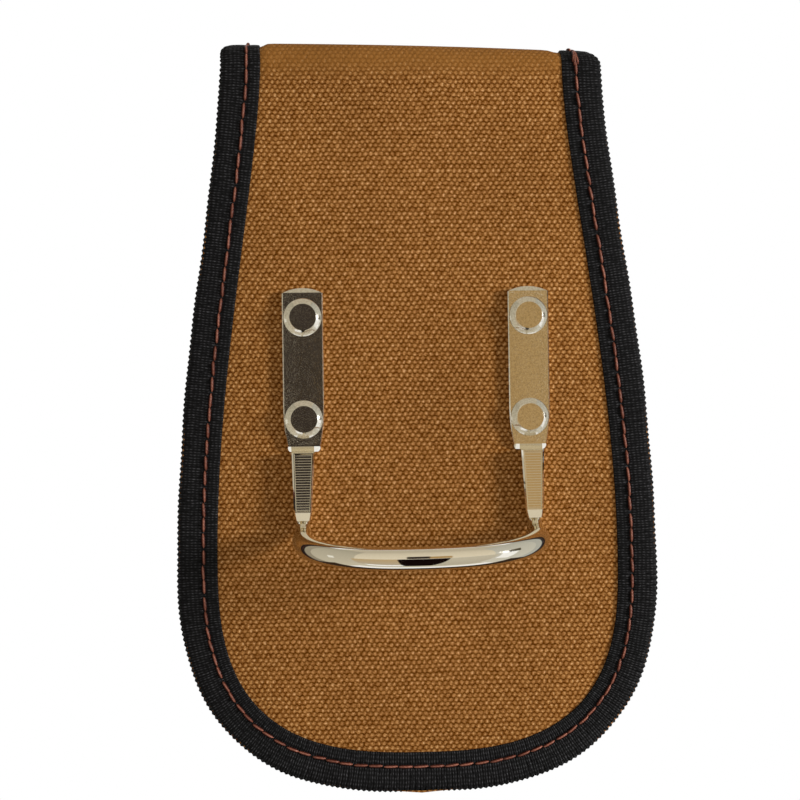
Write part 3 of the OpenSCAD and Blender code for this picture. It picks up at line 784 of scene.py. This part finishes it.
def lining_material(cloth):
    """Coated nylon lining: a fine dark plain weave with a dull sheen."""
    material, add = start_material("coated_nylon_lining")
    flat = cut_place(add, PANEL_W, strip_length(cloth))
    # Drawn at 0.6 mm, coarser than the real 0.25 mm yarns, so that it shows.
    wave = cosines(add, flat, (math.pi / 0.6, math.pi / 0.6, 0))
    crowns = add("Math.MULTIPLY", [wave[0], wave[1]])
    share = add("Math.MULTIPLY_ADD", [crowns, 0.4, 0.5])
    colour = add("Mix", [share, rgba(cloth.lining), rgba("#3b3735")], data_type="RGBA")
    colour = clouded(add, flat, colour, 0.05, (0.8,) * 3, (1.2,) * 3)
    looks = {"Base Color": colour, "Roughness": 0.5, "Specular IOR Level": 0.3}
    finish_material(add, looks, crowns, 0.08 * MM)
    return material


def webbing_material(name, tape, girth, run):
    """Polypropylene webbing: near-black cross ribs, two to each wave of the edge, with dull glints painted in
    the colour.
    """
    material, add = start_material(name)
    flat = cut_place(add, girth, run)
    drift = add("TexNoise", {"Vector": flat, "Scale": 0.4, "Detail": 1.0}).outputs["Color"]
    moved = add("VectorMath.MULTIPLY_ADD", [drift, (0.9, 0.5, 0), flat])
    turns = (2 * math.pi / (tape.bead_pitch / MM), 4 * math.pi / (tape.rib_pitch / MM), 0)
    wave = cosines(add, moved, turns)
    ribs = add("Math.MULTIPLY_ADD", [wave[1], 0.5, 0.5])
    beads = add("Math.MULTIPLY_ADD", [wave[0], 0.3, 0.6])
    relief = add("Math.MULTIPLY", [ribs, beads])
    # Painted highlight: the glint colour on the ribs and beads, broken into long patches of noise.
    long = add("Mapping", {"Vector": flat, "Scale": (0.45, 1.6, 1)})
    highlight_patches = add("TexNoise", {"Vector": long, "Scale": 1.0, "Detail": 3.0, "Roughness": 0.7})
    highlight_patches = add("Math.MULTIPLY_ADD", [highlight_patches, 4.5, -1.75])
    glint = add("Math.POWER", [relief, 1.6])
    glint = add("Math.MULTIPLY", [glint, highlight_patches], use_clamp=True)
    colour = add("Mix", [glint, rgba(tape.web), rgba(tape.glint)], data_type="RGBA")
    looks = {"Base Color": colour, "Roughness": 0.6, "Specular IOR Level": 0.07}
    finish_material(add, looks, relief, 0.2 * MM, 0.9)
    return material


def thread_material(tape):
    """Bonded polyester thread: dark rust and twisted, with a pale pinkish highlight painted along its crest.
    """
    material, add = start_material("bonded_polyester_thread")
    place = object_place(add)
    # The pale colour along the crest is a painted highlight, in patches of noise.
    crest = add("SeparateXYZ", [add("UVMap", uv_map="cut")]).outputs[1]
    crest = add("MapRange", {"Value": crest, "From Min": 0.87, "From Max": 0.98})
    highlight_patches = add("TexNoise", {"Vector": place, "Scale": 0.13, "Detail": 2.0})
    highlight_patches = add("MapRange", {"Value": highlight_patches, "From Min": 0.35, "From Max": 0.6, "To Min": 0.45})
    share = add("Math.MULTIPLY", [crest, highlight_patches])
    twist = {"Vector": place, "Scale": 0.6, "Distortion": 0.6}
    twist = add("TexWave", twist, bands_direction="DIAGONAL").outputs[1]
    shade = add("Math.MULTIPLY_ADD", [twist, 0.35, 0.65])
    share = add("Math.MULTIPLY", [share, shade])
    colour = add("Mix", [share, rgba(tape.thread), rgba(tape.painted_thread_highlight)], data_type="RGBA")
    looks = {"Base Color": colour, "Roughness": 0.45, "Specular IOR Level": 0.2}
    finish_material(add, looks, twist, 0.05 * MM)
    return material


def nickel_material(name, steel, polished, rolled, dents, level=-1.0):
    """Nickel-plated steel: a warm mirror, clouded above a height by the rolled steel underneath.

    polished and rolled are its roughness below and above, and the default height is below all."""
    material, add = start_material(name)
    place = object_place(add)
    cloud = add("TexNoise", {"Vector": place, "Scale": 0.5, "Detail": 5.0, "Roughness": 0.65})
    grain = add("TexNoise", {"Vector": place, "Scale": 1.9, "Detail": 3.0, "Roughness": 0.7})
    up = add("SeparateXYZ", [place]).outputs[2]
    flat = add("MapRange", {"Value": up, "From Min": level / MM, "From Max": level / MM + 0.5})
    wear = add("Math.MULTIPLY_ADD", [cloud, 1.1, 0.45])
    rough = add("MapRange", {"Value": flat, "To Min": polished, "To Max": rolled})
    rough = add("Math.MULTIPLY", [rough, wear])
    spots = set_stops(add("ValToRGB", [grain]), [(0.4, steel.nickel), (0.7, "#b8ae9a")])
    share = add("Math.MULTIPLY_ADD", [flat, 0.45, 0.05])
    colour = add("Mix", [share, rgba(steel.nickel), spots], data_type="RGBA")
    relief = add("Math.MULTIPLY_ADD", [grain, 0.35, cloud])
    # Less its mean, so that the relief has no step where the clouding starts.
    relief = add("Math.SUBTRACT", [relief, 0.675])
    relief = add("Math.MULTIPLY", [relief, flat])
    finish_material(add, {"Base Color": colour, "Metallic": 1.0, "Roughness": rough}, relief, dents)
    return material


def board_material(cloth):
    """Pressed polyethylene board: dark grey with a fine pebble."""
    material, add = start_material("pressed_polyethylene_board")
    pebble = add("TexNoise", {"Vector": object_place(add), "Scale": 1.4, "Detail": 3.0})
    colour = add("Mix", [pebble, rgba(cloth.board), rgba("#4a4a4c")], data_type="RGBA")
    finish_material(add, {"Base Color": colour, "Roughness": 0.6}, pebble, 0.1 * MM)
    return material


# ---- modelling by hand ------------------------------------------------------


def mode(name):
    """Go to object or edit mode."""
    bpy.ops.object.mode_set(mode=name)


def start_box(name, low, high):
    """A box primitive between two corners, with its place in its mesh, in edit mode."""
    low, high = Vector(low), Vector(high)
    deselect()
    bpy.ops.mesh.primitive_cube_add(size=1, location=(low + high) / 2, scale=high - low)
    made = bpy.context.object
    made.name = name
    bpy.ops.object.transform_apply(location=True, rotation=True, scale=True)
    mode("EDIT")
    return made


def pick(made, kind, test):
    """In edit mode, select just the vertices, edges or faces for which test(element) holds."""
    bpy.ops.mesh.select_mode(type={"verts": "VERT", "edges": "EDGE", "faces": "FACE"}[kind])
    bpy.ops.mesh.select_all(action="DESELECT")
    bm = bmesh.from_edit_mesh(made.data)
    for element in [e for e in getattr(bm, kind) if test(e)]:
        element.select_set(True)
    bm.select_flush_mode()
    bmesh.update_edit_mesh(made.data)


def middle(element):
    """Centre of an edge or a face."""
    points = [v.co for v in element.verts]
    return sum(points, Vector()) / len(points)


def cut(place, normal):
    """Cut the whole mesh being edited along a plane."""
    bpy.ops.mesh.select_all(action="SELECT")
    bpy.ops.mesh.bisect(plane_co=place, plane_no=normal, threshold=0.1 * EPS)


def slice_off(place, normal):
    """Cut off what lies beyond a plane, and close the cut."""
    bpy.ops.mesh.select_all(action="SELECT")
    bpy.ops.mesh.bisect(plane_co=place, plane_no=Vector(normal).normalized(), use_fill=True, clear_outer=True)


def extrude(x, y, z):
    """Extrude what is selected by a step."""
    bpy.ops.mesh.extrude_region_move(TRANSFORM_OT_translate={"value": (x, y, z)})


def resize(x, y, z, centre):
    """Scale what is selected about a point."""
    bpy.ops.transform.resize(value=(x, y, z), center_override=centre)


def apply_modifier(made, kind, **settings):
    """Add a modifier, set it and apply it."""
    only(made)
    modifier = made.modifiers.new(kind.lower(), kind)
    for key, value in settings.items():
        setattr(modifier, key, value)
    bpy.ops.object.modifier_apply(modifier=modifier.name)


def combine(base, other, operation):
    """Boolean of two closed solids, applied to the first. The second is removed."""
    apply_modifier(base, "BOOLEAN", object=other, operation=operation, solver="EXACT")
    bpy.data.objects.remove(other)


def bevel_front_sides(made, width):
    """Bevel the two upright front edges of a box."""
    pick(made, "edges", lambda e: sorted(round(f.normal.y) for f in e.link_faces) == [-1, 0]
         and abs(e.verts[0].co.z - e.verts[1].co.z) > EPS)
    bpy.ops.mesh.bevel(offset=width, segments=1)


def make_plate(steel, x):
    """A flattened rod end: a plate with a crowned top, a tapered foot and sloped front edges."""
    half, foot_z = steel.plate_w / 2, LOWER_Z - steel.plate_foot
    plate = start_box("plate", (x - half, PLATE_FACE, foot_z), (x + half, CANVAS_FACE, PLATE_TOP))
    bevel_front_sides(plate, steel.chamfer)
    columns, rows = 12, 6
    for k in range(1, columns):
        cut((x - half + steel.plate_w * k / columns, 0, 0), (1, 0, 0))
    for k in range(1, rows + 1):
        cut((0, 0, foot_z + steel.foot_taper * k / rows), (0, 0, 1))
    mode("OBJECT")
    radius = (half**2 + steel.crown**2) / (2 * steel.crown)
    narrow = 1 - steel.foot_w / steel.plate_w
    for v in plate.data.vertices:
        away = v.co.x - x
        if v.co.z > PLATE_TOP - EPS:
            v.co.z -= radius - math.sqrt(radius**2 - away**2)
        up = min((v.co.z - foot_z) / steel.foot_taper, 1)
        v.co.x = x + away * (1 - narrow * (1 - up) ** 2)
    mode("EDIT")
    corner = steel.foot_w / 2 - EPS
    pick(plate, "edges", lambda e: middle(e).z < foot_z + EPS and abs(middle(e).x - x) > corner)
    bpy.ops.mesh.bevel(offset=FOOT_ROUND, segments=3)
    depth = CANVAS_FACE - PLATE_FACE
    slice_off((x, PLATE_FACE, PLATE_TOP - steel.crown_bevel), (0, -steel.crown_bevel, 0.45 * depth))
    slice_off((x, PLATE_FACE, foot_z + steel.foot_bevel), (0, -steel.foot_bevel, -0.6 * depth))
    mode("OBJECT")
    return plate


def make_neck(steel, x):
    """The pressed neck under the right plate: a tapered bar with a sunk, ribbed face, and a block."""
    foot_z = LOWER_Z - steel.plate_foot
    low_z, face_y = foot_z - steel.neck_l, CANVAS_FACE - steel.neck_d
    middle_x, half = x + steel.neck_shift, steel.neck_w / 2
    neck = start_box("neck", (middle_x - half, face_y, low_z), (middle_x + half, CANVAS_FACE, foot_z))
    bevel_front_sides(neck, NECK_BEVEL)
    slice_off((middle_x, PLATE_FACE, foot_z), (0, -steel.neck_slope, PLATE_FACE - face_y))
    pick(neck, "verts", lambda v: v.co.z < low_z + EPS)
    resize(steel.neck_low_w / steel.neck_w, 1, 1, (middle_x, 0, low_z))
    bpy.ops.transform.translate(value=(steel.splay - steel.neck_shift, 0, 0))
    pick(neck, "faces", lambda f: f.normal.z < -0.99)
    extrude(0, 0, -steel.block_h)
    foot = (x + steel.splay, CANVAS_FACE, low_z)
    resize(steel.block_w / steel.neck_low_w, steel.block_lean, 1, foot)
    pick(neck, "faces", lambda f: f.normal.y < -0.99 and middle(f).z > low_z)
    bpy.ops.mesh.inset(thickness=NECK_RIM)
    bpy.ops.mesh.inset(thickness=RIM_SLOPE, depth=-steel.recess)
    floor = [v.co.copy() for v in bmesh.from_edit_mesh(neck.data).verts if v.select]
    high, low, deep = max(v.z for v in floor), min(v.z for v in floor), max(v.y for v in floor)
    for k in range(steel.ribs):
        groove = low + (high - low) * (k + 0.5) / steel.ribs
        for side in (-0.5, 0, 0.5):
            cut((0, 0, groove + side * steel.groove_w), (0, 0, 1))
        pick(neck, "verts", lambda v: abs(v.co.z - groove) < EPS and abs(v.co.y - deep) < EPS)
        bpy.ops.transform.translate(value=(0, steel.groove_d, 0))
    mode("OBJECT")
    return neck


def make_rod(steel):
    """The rod: squared where it leaves the block, then round. The right half is swept, then mirrored."""
    low_z, loop_x = LOWER_Z - steel.plate_foot - steel.neck_l, RIVET_X + steel.splay
    deselect()
    bpy.ops.mesh.primitive_circle_add(vertices=ROD_SIDES, radius=1, fill_type="NGON")
    rod = bpy.context.object
    rod.name = "rod"
    power = SQUARE_POWER
    for v in rod.data.vertices:
        squared = (abs(v.co.x) ** power + abs(v.co.y) ** power) ** (-1 / power) * steel.root_w / 2
        v.co = Vector((loop_x + v.co.x * squared, ROD_Y + v.co.y * squared, low_z + MM))
    mode("EDIT")
    bpy.ops.mesh.select_all(action="SELECT")
    extrude(0, 0, -MM)
    turn = math.pi / 2 - steel.dip
    pivot = Vector((loop_x, ROD_Y - steel.bend_r, low_z))
    grown = smooth(np.linspace(-0.15, 1, BEND_STEPS + 1))
    sizes = steel.root_w + (steel.rod_d - steel.root_w) * grown
    for k in range(1, BEND_STEPS + 1):
        bpy.ops.mesh.extrude_region_move()
        bpy.ops.transform.rotate(value=turn / BEND_STEPS, orient_axis="X", center_override=pivot)
        a = turn * k / BEND_STEPS
        ring = pivot + Vector((0, steel.bend_r * math.cos(a), -steel.bend_r * math.sin(a)))
        bpy.ops.transform.tosphere(value=ROUNDING)
        resize(*(float(sizes[k] / sizes[k - 1]),) * 3, ring)
    axis = Vector((0, -math.sin(steel.dip), math.cos(steel.dip)))
    ahead = Vector((0, -math.cos(steel.dip), -math.sin(steel.dip)))
    corner = math.pi / 2 - steel.front_angle
    centre = ring - Vector((steel.corner_r, 0, 0))
    bpy.ops.mesh.spin(steps=CORNER_STEPS, angle=corner, center=centre, axis=axis)
    front_r = (loop_x - steel.corner_r * (1 - math.cos(corner))) / math.sin(steel.front_angle)
    reach = steel.corner_r * math.sin(corner) - front_r * math.cos(steel.front_angle)
    centre = Vector((0, ring.y, ring.z)) + reach * ahead
    bpy.ops.mesh.spin(steps=FRONT_STEPS, angle=steel.front_angle, center=centre, axis=axis)
    bpy.ops.mesh.delete(type="FACE")
    mode("OBJECT")
    apply_modifier(rod, "MIRROR", use_axis=(True, False, False), use_clip=True, merge_threshold=0.02 * MM)
    for v in rod.data.vertices:
        out = float(smooth((ROD_Y - v.co.y) / LEG_REACH))
        v.co.z += steel.lean * v.co.x * out
        v.co.x *= 1 + steel.flare * out
    return rod


def hole_cutter(x, z):
    """A cylinder that cuts one rivet hole through a plate."""
    radius = (TUBE_HIGH.x - TUBE_LOW.x) / 2 + HOLE_PLAY
    deselect()
    bpy.ops.mesh.primitive_cylinder_add(
        vertices=32, radius=radius, depth=20 * MM, location=(x, PLATE_FACE, z), rotation=(math.pi / 2, 0, 0))
    bpy.ops.object.transform_apply(location=True, rotation=True, scale=True)
    return bpy.context.object


def turned(profile, level, degrees):
    """A turned piece from rows of radius and height in millimetres, on the y axis from a level."""
    deselect()
    bpy.ops.mesh.primitive_circle_add(vertices=56, radius=profile[0][0] * MM, fill_type="NGON")
    made = bpy.context.object
    mode("EDIT")
    bpy.ops.mesh.select_all(action="SELECT")
    for (r0, h0), (r1, h1) in zip(profile, profile[1:]):
        extrude(0, 0, (h1 - h0) * MM)
        resize(r1 / r0, r1 / r0, 1, (0, 0, h1 * MM))
    mode("OBJECT")
    facing = Matrix.Rotation(math.radians(degrees), 4, "X")
    made.data.transform(Matrix.Translation((0, level, 0)) @ facing)
    turn_outward(made)
    return made


def moved_copy(made, name, x, z):
    """A copy of a piece with its own mesh, moved in its mesh."""
    twin = bpy.data.objects.new(name, made.data.copy())
    twin.data.name = name
    twin.data.transform(Matrix.Translation((x, 0, z)))
    bpy.context.scene.collection.objects.link(twin)
    return twin


# ---- stage ------------------------------------------------------------------

# Name, lower left, lower right and upper left corner, and the colours below and above of each card.
REFLECTION_CARDS = [
    ("left_dark", (-0.08, -0.61, -0.121), (0.045, -0.61, -0.121), (-0.08, -0.61, 0.08), "#362e28", "#3e3731"),
    ("right_tan", (0.045, -0.61, -0.13), (0.17, -0.61, -0.13), (0.045, -0.61, 0.05), "#b49565", "#ac8e5e"),
    ("low_black", (-0.13, -0.6, -1.5), (0.16, -0.6, -1.5), (-0.13, -0.6, -0.15), "#140a08", "#140a08"),
    ("low_tan", (-0.9, -0.61, -1.0), (-0.13, -0.61, -1.0), (-0.9, -0.61, -0.15), "#b8ae9c", "#c0a880"),
    ("low_grey", (0.16, -0.61, -1.5), (0.9, -0.61, -1.5), (0.16, -0.61, -0.15), "#b8b0a0", "#c8c0ae"),
    ("high_cream", (-0.9, -0.7, -0.15), (0.9, -0.7, -0.15), (-0.9, -0.7, 1.4), "#e4d9c2", "#c0b6a2"),
    ("ceiling", (-0.9, -0.7, 1.4), (0.9, -0.7, 1.4), (-0.9, 0.3, 1.4), "#c0b6a2", "#c0b6a2"),
    ("left_grey", (-0.9, 0.3, -1.5), (-0.9, -0.7, -1.5), (-0.9, 0.3, 1.4), "#cfc6b2", "#a8a290"),
    ("right_grey", (0.9, -0.7, -1.5), (0.9, 0.3, -1.5), (0.9, -0.7, 1.4), "#d8d4c8", "#b4b2a8"),
    ("left_back", (-0.9, 1.5, -1.5), (-0.9, 0.3, -1.5), (-0.9, 1.5, 1.4), "#8f8674", "#a39a88"),
    ("right_back", (0.9, 0.3, -1.5), (0.9, 1.5, -1.5), (0.9, 0.3, 1.4), "#b8bab4", "#b0aea4"),
    ("floor_tan", (-0.9, -0.6, -1.5), (0.9, -0.6, -1.5), (-0.9, -0.25, -1.5), "#b3a892", "#d8d2c2"),
    ("key_window", (0.88, -0.5, -0.7), (0.88, -0.15, -0.7), (0.88, -0.5, 0.05), "#ffffff", "#ffffff"),
    ("left_window", (-0.88, -0.1, -0.25), (-0.88, -0.22, -0.25), (-0.88, -0.1, -0.05), "#efece2", "#efece2"),
    ("right_dark", (0.85, -0.35, -0.1), (0.85, -0.1, -0.1), (0.85, -0.35, 0.12), "#4a4436", "#5c5444"),
    ("under_dark", (-0.3, 0.0, -0.35), (0.3, 0.0, -0.35), (-0.3, 0.35, -0.35), "#3a2c20", "#3a2c20"),
]


def add_seen(add):
    """Node that is 1 where the camera, a mirror or glass looks, and 0 for light that falls on the object."""
    path = add("LightPath").outputs
    seen = add("Math.MAXIMUM", [path["Is Camera Ray"], path["Is Glossy Ray"]])
    return add("Math.MAXIMUM", [seen, path["Is Transmission Ray"]])


def make_world(level):
    """White surroundings as the camera and mirrors see them, softer as light on the object."""
    world = bpy.data.worlds.new("white_room")
    world.use_nodes = True
    world.node_tree.nodes.clear()
    add = partial(add_node, world.node_tree)
    strength = add("MapRange", {"Value": add_seen(add), "To Min": level, "To Max": 1.0})
    light = add("Background", {"Color": (1, 1, 1, 1), "Strength": strength})
    add("OutputWorld", {"Surface": light})
    bpy.context.scene.world = world


def make_floor():
    """A white floor well below the holder, which still takes its shadow."""
    bpy.ops.mesh.primitive_plane_add(size=3, location=(0, 0, -1.6))
    floor = bpy.context.object
    floor.name = "white_floor"
    material, add = start_material("white_paper")
    share = add("Math.MULTIPLY", [add_seen(add), 0.95])
    paper = add("BsdfDiffuse", {"Color": (0.8, 0.8, 0.8, 1)})
    glow = add("Emission", {"Color": (1, 1, 1, 1), "Strength": 1.0})
    add("OutputMaterial", {"Surface": add("MixShader", [share, paper, glow])})
    coat(floor, material)


def make_camera(stage):
    """The camera, aimed at a point on the canvas that its shift moves to the view's middle."""
    camera = bpy.data.objects.new("camera", bpy.data.cameras.new("camera"))
    bpy.context.scene.collection.objects.link(camera)
    camera.data.lens, camera.data.clip_start = stage.lens, 50 * MM
    camera.data.shift_x = camera.data.shift_y = stage.shift
    camera.location = (stage.camera_x, CANVAS_FACE - stage.camera_far, stage.camera_z)
    step = stage.shift * stage.camera_far * camera.data.sensor_width / stage.lens
    look = Vector((stage.aim_x - step, CANVAS_FACE, stage.aim_z - step)) - camera.location
    turn = look.to_track_quat("-Z", "Y").to_matrix() @ Matrix.Rotation(-stage.camera_roll, 3, "Z")
    camera.rotation_euler = turn.to_euler()
    bpy.context.scene.camera = camera


def make_lamp(name, place, size, power, mirrored):
    """A square area lamp that faces the holder, and that the metal mirrors or not."""
    lamp = bpy.data.lights.new(name, "AREA")
    lamp.size, lamp.energy = size, power
    made = bpy.data.objects.new(name, lamp)
    made.location = place
    look = Vector((0, 0, -0.08)) - Vector(place)
    made.rotation_euler = look.to_track_quat("-Z", "Y").to_euler()
    made.visible_glossy = mirrored
    bpy.context.scene.collection.objects.link(made)


def make_card(name, left, right, top, under, over):
    """A card over three of its corners, shaded from one colour to another, and seen in the metal only."""
    left, right, top = Vector(left), Vector(right), Vector(top)
    uvs = [(0, 0), (1, 0), (1, 1), (0, 1)]
    card = mesh_object(name, [left, right, right + top - left, top], [(0, 1, 2, 3)], uvs, False)
    material, add = start_material(name + "_paint")
    up = add("SeparateXYZ", [add("UVMap", uv_map="cut")]).outputs[1]
    shade = add("Mix", [up, rgba(under), rgba(over)], data_type="RGBA")
    add("OutputMaterial", {"Surface": add("Emission", {"Color": shade, "Strength": 1.0})})
    coat(card, material)
    card.visible_camera = card.visible_diffuse = card.visible_shadow = False
    card.visible_transmission = card.visible_volume_scatter = False


# ---- operators --------------------------------------------------------------


class HOLDER_OT_canvas(Operator):
    """Build the canvas strip over the fold"""

    bl_idname = "holder.canvas"
    bl_label = "Canvas"

    def execute(self, context):
        cloth = context.scene.holder_cloth
        layer = cloth_layer("canvas_strip", cloth, canvas_depths, CANVAS_INSET)
        finish_layer(*layer, "outer_canvas", "canvas", canvas_material(cloth))
        return {"FINISHED"}


class HOLDER_OT_lining(Operator):
    """Build the lining behind the canvas and give the board its finish"""

    bl_idname = "holder.lining"
    bl_label = "Lining and board"

    def execute(self, context):
        cloth = context.scene.holder_cloth
        layer = cloth_layer("lining_strip", cloth, lining_depths, LINING_INSET)
        finish_layer(*layer, "lining", "lining", lining_material(cloth))
        coat(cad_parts["stiffener_board"], board_material(cloth))
        return {"FINISHED"}


class HOLDER_OT_binding(Operator):
    """Fold the webbing tape over the cut edges"""

    bl_idname = "holder.binding"
    bl_label = "Binding tape"

    def execute(self, context):
        cloth, tape = context.scene.holder_cloth, context.scene.holder_tape
        for name, node, look, line in (
                ("edge_tape", "edge_binding", "ribbed_polypropylene_webbing", edge_line(cloth)),
                ("flap_end_tape", "flap_end_binding", "ribbed_webbing_at_flap_end", end_line())):
            seam = Seam(cloth, line, tape.rib_pitch / 4)
            made, girth = folded_tape(name, seam, tape)
            finish_piece(made, node, webbing_material(look, tape, girth, seam.length))
        return {"FINISHED"}


class HOLDER_OT_stitching(Operator):
    """Sew the tape down with lockstitches"""

    bl_idname = "holder.stitching"
    bl_label = "Stitching"

    def execute(self, context):
        cloth, tape = context.scene.holder_cloth, context.scene.holder_tape
        thread = thread_material(tape)
        edge, end = (Seam(cloth, line, tape.rib_pitch / 2) for line in (edge_line(cloth), end_line()))
        # A back-tack of short steps where the seam rolls over the fold on the right.
        start = edge.s[np.argmax((edge.data[:, 0] > 0) & (edge.data[:, 8] > 0.4))]
        steps = enumerate((0.2, -0.3, 0.4, -0.2))
        back_tack = [(start + k * 0.6 * MM, lean * MM, -lean * MM) for k, lean in steps]
        for name, seam, outer, extra in (
                ("needle_thread", edge, True, back_tack), ("bobbin_thread", edge, False, ()),
                ("flap_end_needle_thread", end, True, ()), ("flap_end_bobbin_thread", end, False, ())):
            finish_piece(stitch_row(name + "_stitches", seam, tape, outer, extra), name, thread)
        return {"FINISHED"}


class HOLDER_OT_hammer_loop(Operator):
    """Forge the hammer loop with its two plates"""

    bl_idname = "holder.hammer_loop"
    bl_label = "Hammer loop"

    def execute(self, context):
        steel = context.scene.holder_steel
        leg = make_plate(steel, RIVET_X)
        combine(leg, make_neck(steel, RIVET_X), "UNION")
        for level in (UPPER_Z, LOWER_Z):
            combine(leg, hole_cutter(RIVET_X, level), "DIFFERENCE")
        apply_modifier(leg, "MIRROR", use_axis=(True, False, False), use_mirror_merge=False)
        combine(leg, make_rod(steel), "UNION")
        leg.name = leg.data.name = "forged_loop"
        turn_outward(leg)
        level = LOWER_Z - steel.plate_foot + steel.foot_bevel
        plated = nickel_material("nickel_plated_forged_steel", steel, 0.05, 0.09, 0.07 * MM, level)
        finish_piece(leg, "hammer_loop", plated, 14)
        return {"FINISHED"}


class HOLDER_OT_rivets(Operator):
    """Turn the rivet caps and give sockets and posts their finish"""

    bl_idname = "holder.rivets"
    bl_label = "Rivets"

    def execute(self, context):
        steel = context.scene.holder_steel
        bright = nickel_material("bright_nickel_plated_caps", steel, 0.07, 0.1, 0.03 * MM)
        dull = nickel_material("dull_nickel_plated_rivets", steel, 0.3, 0.3, 0.02 * MM)
        wide, flat, high = CAP_D / 2 / MM, steel.cap_flat_d / 2 / MM, (CAP_HIGH.y - CAP_LOW.y) / MM
        front = [
            (wide - 0.25, 0), (wide, 0.15), (wide, 0.6), (wide - 0.15, 0.75), (flat + 0.9, high - 0.65),
            (flat + 0.12, high - 0.06), (flat, high), (flat - 0.6, high), (0.02, high)]
        wide = (BACK_CAP_HIGH.x - BACK_CAP_LOW.x) / 2 / MM
        high = (BACK_CAP_HIGH.y - BACK_CAP_LOW.y) / MM
        back = [
            (wide - 0.3, 0), (wide, 0.15), (wide - 0.15, 0.4), (wide - 1.2, high - 0.25),
            (wide - 2.2, high - 0.06), (0.02, high)]
        models = {"cap": turned(front, PLATE_FACE, 90), "back_cap": turned(back, FLAP_BACK, -90)}
        for row, level in (("upper", UPPER_Z), ("lower", LOWER_Z)):
            for side, x in (("left", -RIVET_X), ("right", RIVET_X)):
                for kind, model in models.items():
                    cap = moved_copy(model, f"{kind}_{row}_{side}", x, level)
                    finish_piece(cap, f"rivet_{kind}_{row}_{side}", bright, 25)
                for part in ("socket", "post"):
                    coat(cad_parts[f"rivet_{part}_{row}_{side}"], dull)
        for model in models.values():
            bpy.data.objects.remove(model)
        return {"FINISHED"}


class HOLDER_OT_stage(Operator):
    """Place the camera, the lamps and the white surroundings"""

    bl_idname = "holder.stage"
    bl_label = "Stage"

    def execute(self, context):
        stage = context.scene.holder_stage
        context.scene.view_settings.view_transform = "Standard"
        make_camera(stage)
        make_world(stage.world_level)
        make_floor()
        make_lamp("key", (1.15, -0.54, 0.06), 0.27, stage.key_power, True)
        make_lamp("fill", (-0.85, -0.2, 0.05), 0.3, stage.fill_power, False)
        for name, *rest in REFLECTION_CARDS:
            make_card(name + "_card", *rest)
        return {"FINISHED"}


# In the order in which they run.
OPERATORS = [
    HOLDER_OT_canvas, HOLDER_OT_lining, HOLDER_OT_binding, HOLDER_OT_stitching,
    HOLDER_OT_hammer_loop, HOLDER_OT_rivets, HOLDER_OT_stage,
]


class HOLDER_PT_panel(Panel):
    """Lists the holder's pieces in the order in which they are built, and their settings"""

    bl_idname = "HOLDER_PT_panel"
    bl_label = "Hammer Holder"
    bl_space_type = "VIEW_3D"
    bl_region_type = "UI"
    bl_category = "Holder"

    def draw(self, context):
        for made in OPERATORS:
            self.layout.operator(made.bl_idname)
        for name in GROUPS:
            box = self.layout.box()
            settings = getattr(context.scene, name)
            for key in settings.__annotations__:
                box.prop(settings, key)


CLASSES = [*GROUPS.values(), *OPERATORS, HOLDER_PT_panel]


def register():
    for made in CLASSES:
        bpy.utils.register_class(made)
    for name, group in GROUPS.items():
        setattr(bpy.types.Scene, name, PointerProperty(type=group))


def unregister():
    for name in GROUPS:
        delattr(bpy.types.Scene, name)
    for made in reversed(CLASSES):
        bpy.utils.unregister_class(made)


def main():
    register()
    bpy.ops.holder.canvas()
    bpy.ops.holder.lining()
    bpy.ops.holder.binding()
    bpy.ops.holder.stitching()
    bpy.ops.holder.hammer_loop()
    bpy.ops.holder.rivets()
    bpy.ops.holder.stage()


if __name__ == "__main__":
    main()
